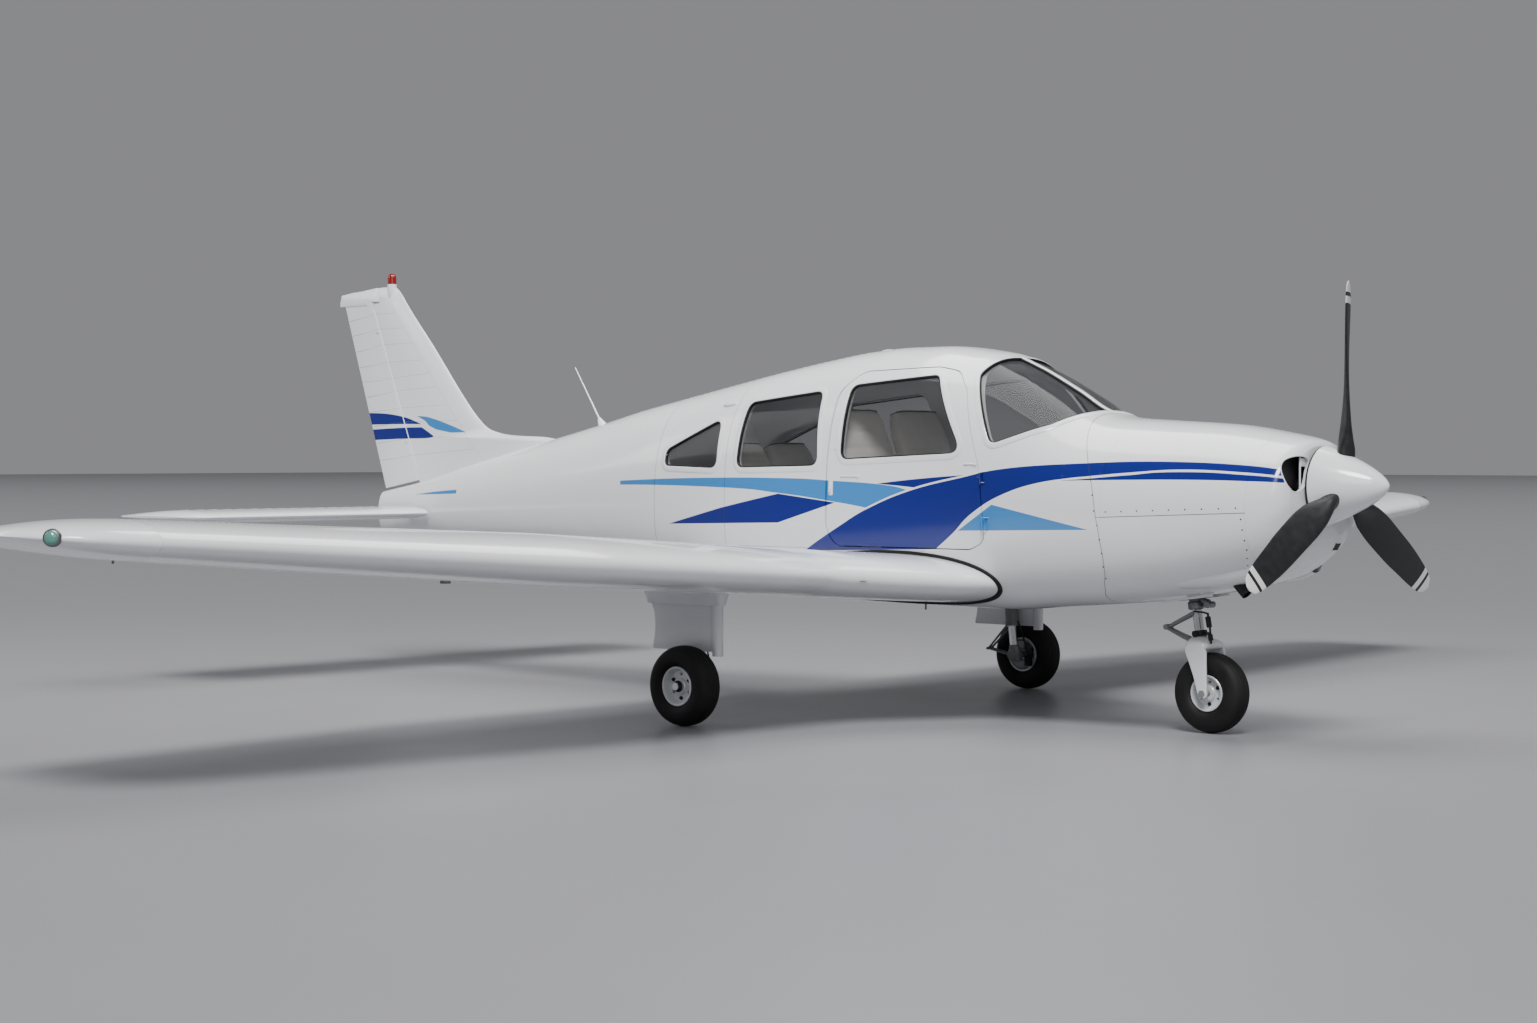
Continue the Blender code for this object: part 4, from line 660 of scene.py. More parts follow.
def section(s, inset=0.0, start=0.0, stop=2 * pi, count=160, floor=None):
    half, waist = halfLine(s) - inset, waistLine(s)
    up, down = topLine(s) - inset - waist, waist - bottomLine(s) - inset
    high, low = topPower(s), bottomPower(s)
    ring = []
    for i in range(count + (0 if stop - start > 6.28 else 1)):
        a = start + (stop - start) * i / count
        c, q = cos(a), sin(a)
        p, reach = (high, up) if q >= 0 else (low, down)
        y, z = half * signedPower(c, 2 / p), waist + reach * signedPower(q, 2 / p)
        ring.append(at(s, y, z if floor is None else max(z, floor)))
    return ring


def skinHalf(s, z):
    waist = waistLine(s)
    reach, power = waist - bottomLine(s), bottomPower(s)
    if z >= waist:
        reach, power = topLine(s) - waist, topPower(s)
    return halfLine(s) * (1 - min(abs((z - waist) / reach), 1) ** power) ** (1 / power)


def hull(marks, inset=0.0, floor=None, count=160, slot=0, inward=False):
    return Shape().skin([section(s, inset, count=count, floor=floor) for s in marks], slot, inward)


class Surface:
    # snaps points to a set of faces and gives the outward normal there
    def __init__(self, shape):
        self.tree = BVHTree.FromPolygons(shape.points, shape.faces)

    def snap(self, p, away):
        spot, normal = self.tree.find_nearest(p)[:2]
        return spot, normal if normal.dot(away) > 0 else -normal


bodySurface = Surface(hull(steps(0.345, 0.515, 0.008) + steps(0.53, 7.13, 0.022), count=220))


def onSkin(s, z, side):
    p = at(s, side * skinHalf(s, z), z)
    return bodySurface.snap(p, p - at(s, 0, waistLine(s)))


def snapRun(points):
    # points on the fuselage with their normals
    made = []
    for p in points:
        s = noseX - p.x
        made.append(bodySurface.snap(p, p - at(s, 0, waistLine(s))))
    return [m[0] for m in made], [m[1] for m in made]


def skinRun(marks, side, pitch=0.015, closed=False):
    marks = dense([Vector(m) for m in marks], pitch, closed)
    return snapRun([at(m.x, side * skinHalf(m.x, m.y), m.y) for m in marks])


def sidePrism(outline, near, far, side):
    return Shape().skin([[at(p[0], side * y, p[1]) for p in outline] for y in (near, far)])


def merged(*shapes):
    made = Shape()
    for shape in shapes:
        shift = len(made.points)
        made.points += shape.points
        made.slots += shape.slots
        made.inward += shape.inward
        made.faces += [tuple(k + shift for k in corners) for corners in shape.faces]
    return made


windows = {
    "front": [(2.868, 1.334), (2.080, 1.368), (2.335, 1.772), (2.880, 1.727)],
    "middle": [(3.622, 1.290), (3.018, 1.302), (3.065, 1.702), (3.612, 1.646)],
    "rear": [(4.225, 1.299), (3.775, 1.286), (3.790, 1.566), (4.225, 1.392)],
}
windshield = [(1.512, 1.610), (1.640, 1.508), (1.800, 1.450), (1.925, 1.408), (2.115, 1.770), (2.060, 2.10),
              (1.512, 2.10)]
shieldCorner = 0.055
cabin = {"front": 1.2708, "rear": 4.2992, "floor": 0.72, "wall": 0.035, "corner": 0.055, "post": 0.016,
         "glassIn": 0.008, "glassThick": 0.006}
door = {
    "hinge": (1.925, -0.578, 0.95), "lean": (-0.11, 0.06, 1.0), "gap": 0.005, "rearExtra": 0.005,
    "outline": [(1.930, 0.93), (1.967, 1.283), (2.13, 1.685), (2.225, 1.79), (2.36, 1.815), (2.84, 1.80),
                (2.955, 1.70), (2.965, 0.98), (2.90, 0.885), (2.02, 0.885)],
    "barrelHeights": (1.02, 1.25), "barrelR": 0.0055, "leaf": 0.022}

doorUp = Vector(door["lean"]).normalized()
doorAft = (doorUp * doorUp.x - xAxis).normalized()
doorOut = doorUp.cross(doorAft)
doorOut = -doorOut if doorOut.y > 0 else doorOut


def doorLoop(gap):
    start = at(*door["hinge"])
    gaps = [gap] * len(door["outline"])
    if gap > 0:
        gaps[6] = gap + door["rearExtra"]
    marks = [at(s, -skinHalf(s, z), z) - start for s, z in door["outline"]]
    corners = insetPolygon([(m.dot(doorAft), m.dot(doorUp)) for m in marks], gaps)
    return rounded(corners, 0.12)


def doorPrism(gap):
    start = at(*door["hinge"])
    return Shape().skin([[start + doorAft * p.x + doorUp * p.y + doorOut * d for p in doorLoop(gap)]
                         for d in (-0.30, 0.12)])


def windowPrism(spot, side):
    return sidePrism(rounded(windows[spot], cabin["corner"]), 0.25, 0.75, side)


def windowCuts():
    # all openings but the one in the door
    cuts = []
    for side in bothSides:
        cuts.append(sidePrism(rounded(windshield, shieldCorner), cabin["post"], 0.75, side))
        cuts += [windowPrism(spot, side) for spot in windows if spot != "front" or side > 0]
    return merged(*cuts)


def buildFuselage():
    outer = hull(steps(cabin["front"], cabin["rear"], 0.021))
    shell = loose("cabinSkin", outer, [striped])
    inside = hull(steps(cabin["front"] + cabin["wall"], cabin["rear"] - cabin["wall"], 0.05), cabin["wall"],
                  cabin["floor"], 112)
    carve(shell, "DIFFERENCE", inside, windowCuts(), doorPrism(0.0))
    finishPiece(shell, "airframe", ["fuselage"], 30)

    panes = merged(hull(steps(cabin["front"], cabin["rear"], 0.03), cabin["glassIn"], count=128),
                   hull(steps(cabin["front"] + 0.01, cabin["rear"] - 0.01, 0.03),
                        cabin["glassIn"] + cabin["glassThick"], count=128, inward=True))
    fitted = loose("cabinGlass", panes, [glass])
    carve(fitted, "INTERSECT", windowCuts())
    finishPiece(fitted, "airframe", [
        "windshield_left", "windshield_right", "window_left_front", "window_left_middle", "window_left_rear",
        "window_right_middle", "window_right_rear"], 30)
    return panes


def buildDoor(panes):
    leaf = loose("cabinDoorSkin", hull(steps(1.70, 3.20, 0.021)), [striped])
    carve(leaf, "INTERSECT", doorPrism(door["gap"]))
    inside = hull(steps(1.60, 3.30, 0.05), cabin["wall"], cabin["floor"], 112)
    carve(leaf, "DIFFERENCE", inside, windowPrism("front", -1))
    finishPiece(leaf, "door", ["cabin_door"], 30)
    pane = loose("doorGlass", panes, [glass])
    carve(pane, "INTERSECT", windowPrism("front", -1))
    finishPiece(pane, "door", ["door_window"], 30)
    barrels, knuckles = Shape(), Shape()
    base = at(*door["hinge"])
    for height in door["barrelHeights"]:
        middle = base + doorUp * ((height - door["hinge"][2]) / doorUp.z)
        s = noseX - middle.x
        barrels.rod(middle - doorUp * 0.020, middle + doorUp * 0.020, door["barrelR"], sides=20)
        leafEnd = onSkin(s + door["leaf"], middle.z, -1)[0]
        barrels.rod(middle, leafEnd, 0.0035, sides=12)
        for end in (-1, 1):
            knuckles.rod(middle + doorUp * end * 0.0203, middle + doorUp * end * 0.036, door["barrelR"],
                         sides=20)
            spot = middle + doorUp * end * 0.028
            knuckles.rod(spot, onSkin(s - door["leaf"], spot.z, -1)[0], 0.0035, sides=12)
        knuckles.rod(middle - doorUp * 0.040, middle + doorUp * 0.040, 0.0028, sides=10)
    piece("doorHingeBarrels", barrels, [striped], "door")
    piece("doorHingeKnuckles", knuckles, [striped])


frames = {
    # sideways from the opening's edge, and height over the skin
    "rim": [(-0.003, -0.012), (-0.003, 0.002), (0.001, 0.0045), (0.020, 0.0045), (0.027, 0.002),
            (0.030, -0.004)],
    "seal": [(-0.0095, -0.012), (-0.0095, -0.001), (-0.007, 0.002), (-0.002, 0.003), (-0.002, -0.012)],
    # half sections of the post between the windshield's halves, and of its seal
    "post": [(-0.021, -0.012), (-0.021, 0.002), (-0.014, 0.006)],
    "postSeal": [(-0.031, -0.012), (-0.031, -0.001), (-0.020, 0.003)],
}


def windowFrames():
    rims, seals, doorRim, doorSeal = Shape(), Shape(), Shape(), Shape()
    for side in bothSides:
        for spot, corners in windows.items():
            loop = [(p.x, p.y) for p in rounded(corners, cabin["corner"])]
            path, normals = skinRun(loop, side, 0.012, True)
            rim, seal = (doorRim, doorSeal) if side < 0 and spot == "front" else (rims, seals)
            rim.ribbon(path, normals, frames["rim"])
            seal.ribbon(path, normals, frames["seal"])
    piece("windowRims", rims, [white])
    piece("windowSeals", seals, [sealBlack], "airframe")
    piece("doorWindowRim", doorRim, [white], "door")
    piece("doorWindowSeal", doorSeal, [sealBlack], "door")


def windshieldLoop():
    # the outline of both halves on the skin, as one loop over the middle
    half = []
    for m in dense([Vector((p.x, p.y)) for p in rounded(windshield, shieldCorner)], 0.006):
        if m.y < topLine(m.x) - 0.0015 and m.x > 1.52:
            half.append(at(m.x, skinHalf(m.x, m.y), m.y))
    front = min(range(len(half)), key=lambda i: -half[i].x)
    half = half[front:] + half[:front]
    if abs(half[1].x - half[0].x) > 0.05:
        half = [half[0]] + list(reversed(half[1:]))
    whole = half + [Vector((p.x, -p.y, p.z)) for p in reversed(half)]
    return snapRun(dense(whole, 0.012))


def windshieldFrame():
    path, normals = windshieldLoop()
    middle = [noseX - p.x for p in path if abs(p.y) < 0.08]
    for name, edge, post, finish, slot in (("Rim", "rim", "post", white, "paint"),
                                           ("Seal", "seal", "postSeal", sealBlack, "rubber")):
        shape = Shape().ribbon(path, normals, frames[edge], outward=at(1.85, 0, 1.60))
        shape.skin([[at(s, y, topLine(s) + h) for y, h in mirrored(frames[post])]
                    for s in steps(min(middle), max(middle), 0.02)])
        piece("windshield" + name, shape, [finish], "airframe")


# Nose bowl, cowling and tail cone

nose = {"bowlSeam": 0.515, "firewall": 1.27, "splitFront": 1.09, "splitRear": 1.06,
        "wall": 0.010, "gap": 0.0010, "bulkhead": 4.30, "tailEnd": 7.14}


def cowlHalf(upper):
    rings = []
    for s in steps(nose["bowlSeam"] + nose["gap"], nose["firewall"] - 0.0002, 0.022):
        share = (s - nose["bowlSeam"]) / (nose["firewall"] - nose["bowlSeam"])
        split = nose["splitFront"] + (nose["splitRear"] - nose["splitFront"]) * share
        lift = split - waistLine(s) + (nose["gap"] if upper else -nose["gap"])
        arcs = []
        for inset in (0.0, nose["wall"]):
            reach = (topLine(s) if lift > 0 else bottomLine(s)) - waistLine(s)
            power = topPower(s) if lift > 0 else bottomPower(s)
            edge = asin(min(abs(lift / (abs(reach) - inset)) ** (power / 2), 0.99))
            edge = edge if lift > 0 else -edge
            first, last = (edge, pi - edge) if upper else (pi - edge, 2 * pi + edge)
            arcs.append(section(s, inset, first, last, 90))
        rings.append(arcs[0] + list(reversed(arcs[1])))
    return Shape().skin(rings)


inlet = [(0.140, 1.338), (0.215, 1.357), (0.285, 1.342), (0.325, 1.300), (0.330, 1.245), (0.300, 1.200),
         (0.240, 1.186), (0.175, 1.212), (0.148, 1.270)]


def inletLoop(parts=8):
    # a smooth closed curve through the inlet's marks
    made = []
    for i in range(len(inlet)):
        a, b, c, d = (Vector(inlet[(i + k) % len(inlet)]) for k in (-1, 0, 1, 2))
        for k in range(parts):
            t = k / parts
            made.append((b * 2 + (c - a) * t + (a * 2 - b * 5 + c * 4 - d) * t * t
                         + (b * 3 - a - c * 3 + d) * t ** 3) * 0.5)
    return made


def buildNose():
    piece("upperCowl", cowlHalf(True), [striped], "airframe", ["cowl_top"], 30)
    low = loose("lowerCowl", cowlHalf(False), [striped])
    well = Shape().box(at(1.20, -0.075, 0.5), at(0.90, 0.075, 0.75))
    carve(low, "DIFFERENCE", well)
    finishPiece(low, "airframe", ["cowl_bottom"], 30)
    marks = [0.345, 0.3455, 0.347, 0.350, 0.354, 0.360, 0.368, 0.378, 0.39]
    marks += steps(0.40, nose["bowlSeam"], 0.01)
    inside = hull([0.366, 0.372, 0.39, 0.42, 0.46, 0.505], 0.016, count=96, slot=1, inward=True)
    bowl = loose("noseBowlSkin", merged(hull(marks, count=200), inside), (striped, trimBlack))
    mouths = Shape()
    for side in bothSides:
        mouths.skin([[at(s, side * p.x, p.y) for p in inletLoop()] for s in (0.30, 0.45)])
    carve(bowl, "DIFFERENCE", mouths)
    finishPiece(bowl, "airframe", ["nose_bowl"], 30)


def buildTailcone():
    cone = hull(steps(nose["bulkhead"] + nose["gap"], nose["tailEnd"], 0.024), count=128)
    piece("tailConeSkin", cone, [striped], "airframe", ["tailcone"], 30)


print("skin curves ready")

# Wings

wing = {"zRoot": 0.684, "rise": 0.066, "incidence": 0.030, "depth": 0.150, "camber": 0.020, "seam": 5.05,
        "hingeAt": 0.80, "flap": (0.66, 2.861), "aileron": (2.905, 4.935), "gap": 0.005, "endGap": 0.011,
        "pin": 0.008, "pads": (2.85, 3.30, 0.790, 0.024)}
wingLead = smoothCurve([(0.30, 1.86), (0.57, 1.93), (0.85, 2.10), (1.13, 2.25), (1.30, 2.30), (1.4, 2.30)])
tipLead = smoothCurve([(5.05, 2.515), (5.30, 2.58), (5.44, 2.70), (5.50, 2.90)])
tipTrail = smoothCurve([(5.05, 3.605), (5.30, 3.56), (5.44, 3.50), (5.50, 3.40)])


def planAt(y):
    if y > wing["seam"]:
        return tipLead(y), tipTrail(y)
    out = max(0.0, (y - 2.88) / (5.05 - 2.88))
    return (wingLead(y) if y < 1.30 else 2.30 + 0.215 * out), 3.90 - 0.295 * out


def depthAt(y):
    lead, trail = planAt(y)
    if y < 1.30:
        return wing["depth"] * 1.6 / (trail - lead)
    if y > wing["seam"]:
        out = (y - wing["seam"]) / (5.50 - wing["seam"])
        return wing["depth"] * sqrt(max(1 - out ** 2.2, 0.0025))
    return wing["depth"]


def foilHalf(u, depth, chord, blunt=0.0025):
    return 5 * depth * chord * (0.2969 * sqrt(u) - 0.1260 * u - 0.3516 * u ** 2 + 0.2843 * u ** 3
                                - 0.1036 * u ** 4) + blunt * u


def foil(lead, trail, z, depth, camber, incidence, blunt=0.0025, count=36):
    chord, upper, lower = trail - lead, [], []
    for i in range(count + 1):
        u = 0.5 * (1 - cos(pi * i / count))
        half = foilHalf(u, depth, chord, blunt)
        mean = z - incidence * chord * u + 4 * camber * chord * u * (1 - u)
        upper.append((lead + chord * u, mean + half))
        lower.append((lead + chord * u, mean - half))
    return list(reversed(upper)) + lower[1:]


def planeAt(y):
    return wing["zRoot"] + wing["rise"] * y


def wingRing(y, side):
    lead, trail = planAt(y)
    return [at(s, side * y, z) for s, z in foil(lead, trail, planeAt(y), depthAt(y), wing["camber"],
                                                wing["incidence"])]


def meanAt(u, y):
    # station and height of the mean line, and the chord
    lead, trail = planAt(y)
    chord = trail - lead
    z = planeAt(y) - wing["incidence"] * chord * u + 4 * wing["camber"] * chord * u * (1 - u)
    return lead + chord * u, z, chord


def wingPoint(u, y, side, above=True):
    s, z, chord = meanAt(u, y)
    return at(s, side * y, z + (1 if above else -1) * foilHalf(u, depthAt(y), chord))


def hingeAt(y):
    s, z, chord = meanAt(wing["hingeAt"], y)
    return s, z, foilHalf(wing["hingeAt"], wing["depth"], chord)


def trailAt(y):
    lead, trail = planAt(y)
    return trail, planeAt(y) - wing["incidence"] * (trail - lead)


def flapRing(y, side):
    (s, z, half), (trail, zTrail) = hingeAt(y), trailAt(y)
    ring = [(trail, zTrail + 0.002), (s, z + half)] + arc((s, z), half, 97.5, 7.5, 23)
    return [at(p, side * y, q) for p, q in ring + [(s, z - half), (trail, zTrail - 0.002)]]


def coveRing(y, side):
    s, z, half = hingeAt(y)
    return [at(p, side * y, q) for p, q in cove(s, z, half + wing["gap"], 0.3, s + 0.6, 17)]


wingLabels = {1: "left", -1: "right"}


def surfaces(label):
    # name, body, node and span of one wing's flap and aileron
    return [("Flap", label + "_flap", "flap_" + label, wing["flap"]),
            ("Aileron", label + "_aileron", "aileron_" + label, wing["aileron"])]


def wingStations():
    return steps(0.30, 1.29, 0.045) + steps(1.30, 2.88, 0.16) + steps(3.0, wing["seam"] - 0.0006, 0.17)


def buildWings():
    seat = hull(steps(1.6, 4.2, 0.03), 0.004, count=128)
    for side, label in wingLabels.items():
        skin = loose(label + "WingSkin", Shape().skin([wingRing(y, side) for y in wingStations()]), [white])
        cuts = [seat]
        for inner, outer in (wing["flap"], wing["aileron"]):
            cuts.append(Shape().skin([coveRing(y, side)
                                      for y in (inner - wing["endGap"], outer + wing["endGap"])]))
        carve(skin, "DIFFERENCE", *cuts)
        finishPiece(skin, "airframe", ["wing_" + label], 30)
        tipYs = steps(wing["seam"] + 0.0012, 5.30, 0.03) + steps(5.315, 5.47, 0.014)
        tipYs += [5.478, 5.486, 5.492, 5.497, 5.50]
        piece(label + "WingTip", Shape().skin([wingRing(y, side) for y in tipYs]), [white], "airframe",
              ["wing_tip_" + label], 40)
        for name, body, node, (inner, outer) in surfaces(label):
            shape = Shape().skin([flapRing(y, side) for y in steps(inner, outer, 0.2)])
            a, b = hingeAt(inner), hingeAt(outer)
            first, last = at(a[0], side * inner, a[1]), at(b[0], side * outer, b[1])
            along = (last - first).normalized() * 0.0105
            shape.rod(first - along, last + along, wing["pin"], sides=12)
            piece(label + name + "Skin", shape, [white], body, [node], 30)
    print("wings ready")


def rootSeal():
    # where the wing meets the fuselage, followed round the leading edge
    seal = Shape()
    for side in bothSides:
        path = []
        for above, us in ((True, [0.62 * (1 - i / 60) ** 1.6 for i in range(60)]),
                          (False, [0.62 * (i / 60) ** 1.6 for i in range(61)])):
            for u in us:
                low, high = 0.30, 0.75
                for _ in range(22):
                    y = (low + high) / 2
                    p = wingPoint(u, y, 1, above)
                    low, high = (y, high) if abs(p.y) < skinHalf(noseX - p.x, p.z) else (low, y)
                p = wingPoint(u, low, side, above)
                path.append(p)
        spots, normals = snapRun(path)
        seal.ribbon(spots, normals, [(-0.014, -0.004), (-0.012, 0.005), (0.002, 0.011), (0.016, 0.007),
                                     (0.018, -0.004)], closed=False, outward=at(2.6, side * 0.5, 0.70))
    piece("wingRootSeals", seal, [sealBlack], "airframe")


# Fin, rudder and stabilator

finLead = smoothCurve([(1.10, 5.40), (1.44, 5.50), (1.470, 5.66), (1.480, 5.92), (1.495, 6.05),
                       (1.524, 6.155), (1.60, 6.262), (1.699, 6.361), (2.048, 6.667), (2.308, 6.906),
                       (2.385, 6.968), (2.415, 7.000), (2.432, 7.030)])
finHalf = smoothCurve([(1.10, 0.046), (1.60, 0.043), (2.30, 0.030), (2.385, 0.024), (2.415, 0.014),
                       (2.432, 0.004)])
finNose = smoothCurve([(1.10, 1.20), (1.48, 0.85), (1.60, 0.45), (2.43, 0.30)])
rudderTrail = smoothCurve([(1.10, 7.103), (2.353, 7.526)])
finStretch = sqrt(1 + finSlope ** 2)


def rudderHalf(z):
    return 0.036 - 0.014 * (z - 1.2) / 1.1


def finSide(z, s, last, backHalf):
    lead, half = finLead(z), finHalf(z)
    q, share = min((s - lead) / finNose(z), 1.0), (s - lead) / (last - lead)
    return (half + (backHalf - half) * share ** 3) * sqrt(max(1 - (1 - q) ** 2, 0))


def finRing(z, count=34):
    hinge, reach = finHinge(z), rudderHalf(z) + fin["gap"]
    if z < fin["hornZ"] - fin["hornGap"]:
        back = [(hinge + finStretch * c, q) for c, q in arc((0, 0), reach, 124, 112 / 12, 13)]
        backHalf = back[0][1] + fin["lip"]
    else:
        backHalf = min(finHalf(z) * 0.95, 0.024)
        back = [(fin["hornLead"] - fin["hornGap"] / 2, backHalf * (1 - i / 6)) for i in range(13)]
    lead, last = finLead(z), back[0][0]
    side = [lead + (last - lead) * (i / count) ** 2.2 for i in range(1, count + 1)]
    side = [(s, finSide(z, s, last, backHalf)) for s in side]
    ring = [at(s, y, z) for s, y in side + back[1:-1]] + [at(s, -y, z) for s, y in reversed(side)]
    return ring + [at(lead, -0.0008, z), at(lead, 0.0008, z)]


def finEdge(z):
    # station of the fin's rear edge, beside the rudder
    return finHinge(z) + (rudderHalf(z) + fin["gap"]) * finStretch * cos(radians(124))


def buildFin():
    step = fin["hornZ"] - fin["hornGap"]
    zs = ([1.05, 1.16, 1.30, 1.40] + steps(1.44, 1.53, 0.006) + steps(1.55, step - 0.0001, 0.04)
          + [step + 0.0001]
          + steps(2.345, 2.385, 0.01) + [2.395, 2.405, 2.412, 2.419, 2.425, 2.429, 2.432])
    piece("finSkin", Shape().skin([finRing(z) for z in zs]), [finWhite], "airframe", ["fin"], 30)
    rings = []
    for z in (1.10, 1.3, 1.5, 1.7, 1.9, 2.1, 2.2, 2.3, fin["hornZ"] + 0.01):
        hinge, half, trail = finHinge(z), rudderHalf(z), rudderTrail(z)
        ring = [at(trail, 0.003, z), at(hinge, half, z)]
        ring += [at(hinge + c * finStretch, q, z) for c, q in arc((0, 0), half, 97.5, 7.5, 23)]
        rings.append(ring + [at(hinge, -half, z), at(trail, -0.003, z)])
    rudder = loose("rudderSkin", Shape().skin(rings), [finWhite])
    foot = Shape().skin([[at(s, y, z) for s, z in ((6.60, 1.0), (7.40, 1.0), (7.40, 1.106), (6.60, 1.232))]
                         for y in (-0.1, 0.1)])
    carve(rudder, "DIFFERENCE", foot)
    cap = []
    for z, tail, half in ((2.343, 7.569, 0.0235), (2.347, 7.569, 0.024), (2.37, 7.561, 0.021),
                          (2.385, 7.557, 0.018), (2.395, 7.553, 0.015), (2.408, 7.45, 0.012),
                          (2.416, 7.34, 0.010), (2.430, 7.22, 0.004)):
        ring = [at(fin["hornLead"] + 0.05 + 0.05 * c, half * q, z) for c, q in arc((0, 0), 1, 90, 7.5, 25)]
        cap.append(ring + [at(tail, -0.0025, z), at(tail, 0.0025, z)])
    carve(rudder, "UNION", Shape().skin(cap))
    skirt = [(7.275, 0.0235), (7.569, 0.0026), (7.569, -0.0026), (7.275, -0.0235)]
    levels = ((2.322, 0.94), (2.325, 1), (2.3435, 1))
    carve(rudder, "UNION", Shape().skin([[at(s, y * k, z) for s, y in skirt] for z, k in levels]))
    axis = Vector((-finSlope, 0, 1)).normalized()
    bosses = Shape()
    for z in (1.45, 2.15):
        centre = at(finHinge(z), 0, z)
        bosses.rod(centre - axis * 0.010, centre + axis * 0.010, rudderHalf(z + 0.012) + 0.0044, sides=32)
    finishPiece(rudder, "rudder_body", ["rudder"], 30)
    piece("rudderBosses", bosses, [finWhite], "rudder_body")
    strips = Shape()
    for side in bothSides:
        path = []
        for z in steps(1.27, 2.29, 0.06):
            edge, backHalf = finEdge(z) - 0.008, (rudderHalf(z) + fin["gap"]) * 0.829 + fin["lip"]
            path.append(at(edge, side * (finSide(z, edge, edge + 0.008, backHalf) + 0.0004), z))
        strips.tube(path, 0.0030, 10)
    piece("hingeStrips", strips, [white], sharp=60)


stab = {"z": 1.0, "lead": 6.55, "trail": 7.31, "depth": 0.10, "blunt": 0.004, "tube": (6.74, 0.2, 0.0285),
        "hinge": 7.205, "hingeR": 0.0115, "gap": 0.005, "tabHalf": 1.15, "pin": (1.1545, 0.005)}


def buildStabilator():
    halves = Shape()
    for side in bothSides:
        rings = []
        for y in steps(0.150, 1.78, 0.2) + [1.80, 1.83, 1.86, 1.885, 1.90, 1.912, 1.92, 1.926, 1.93]:
            out = max(0.0, (y - 1.80) / 0.13)
            depth = stab["depth"] * sqrt(max(1 - out ** 2.4, 0.02))
            lead, trail = stab["lead"] + 0.13 * out ** 3, stab["trail"] - 0.07 * out ** 3
            outline = foil(lead, trail, stab["z"], depth, 0, 0, stab["blunt"], 30)
            rings.append([at(s, side * y, z) for s, z in outline])
        halves.skin(rings)
    tail = loose("stabilatorSkin", halves, [white])
    hinge, middle, noseR, wide = stab["hinge"], stab["z"], stab["hingeR"], stab["tabHalf"] + stab["gap"]
    ring = cove(hinge, middle, noseR + stab["gap"], 0.1, 7.5, 9)
    carve(tail, "DIFFERENCE", Shape().skin([[at(s, y, z) for s, z in ring] for y in (-wide, wide)]))
    finishPiece(tail, "tailplane", ["stabilator"], 30)
    s, reach, radius = stab["tube"]
    tube = Shape().rod(at(s, -reach, middle), at(s, reach, middle), radius, sides=32)
    piece("torqueTube", tube, [white], "tailplane")
    ring = [(stab["trail"], middle + 0.002), (hinge, middle + noseR)]
    ring += arc((hinge, middle), noseR, 101.25, 11.25, 15)
    ring += [(hinge, middle - noseR), (stab["trail"], middle - 0.002)]
    tab = Shape().skin([[at(s, y, z) for s, z in ring]
                        for y in steps(-stab["tabHalf"], stab["tabHalf"], 0.23)])
    reach, radius = stab["pin"]
    tab.rod(at(hinge, -reach, middle), at(hinge, reach, middle), radius, sides=12)
    piece("tabSkin", tab, [white], "tailplane_tab", ["stabilator_tab"], 30)
    print("tail ready")


# Propeller

propeller = {"z": 1.215, "s": 0.235, "spinnerR": 0.190, "base": 0.325, "power": 0.62, "turns": (-2, 118, 238)}
bladeChord = smoothCurve([(0.0853, 0.084), (0.16, 0.084), (0.22, 0.110), (0.30, 0.142), (0.42, 0.156),
                          (0.58, 0.156), (0.74, 0.144), (0.87, 0.122), (0.94, 0.088), (0.965, 0.030)])
bladeThick = smoothCurve([(0.0853, 0.084), (0.16, 0.084), (0.22, 0.060), (0.30, 0.036), (0.42, 0.026),
                          (0.58, 0.020), (0.74, 0.015), (0.87, 0.011), (0.94, 0.008), (0.965, 0.006)])
bladeTwist = smoothCurve([(0.0853, 62), (0.16, 60), (0.22, 52), (0.30, 44), (0.42, 35), (0.58, 27),
                          (0.74, 22), (0.87, 19), (0.94, 18), (0.965, 18)])
bladeShift = smoothCurve([(0.0853, 0), (0.16, 0), (0.22, 0.004), (0.30, 0.006), (0.42, 0.006), (0.58, 0.004),
                          (0.74, 0), (0.965, 0)])


def bladePaint():
    shader = Shader("bladePaint", rgb(30, 31, 33), 0.42)
    _, y, z = shader.axes()
    height = z - propeller["z"]
    reach = shader.node("ShaderNodeMath", {"operation": "SQRT"}, {0: y * y + height * height})
    pale = (reach - 0.860).above(0, 0.002) * (0.893 - reach).above(0, 0.002)
    pale = pale.most((reach - 0.913).above(0, 0.002))
    wear = shader.noise(26.0, 4.0)
    colour = shader.blend(wear.above(0.55, 0.4), rgb(29, 30, 32), rgb(38, 39, 41))
    shader.set(Base_Color=shader.blend(pale, colour, rgb(222, 222, 220)), Roughness=wear * 0.25 + 0.30)
    return shader.bump(wear, 0.05, 0.001)


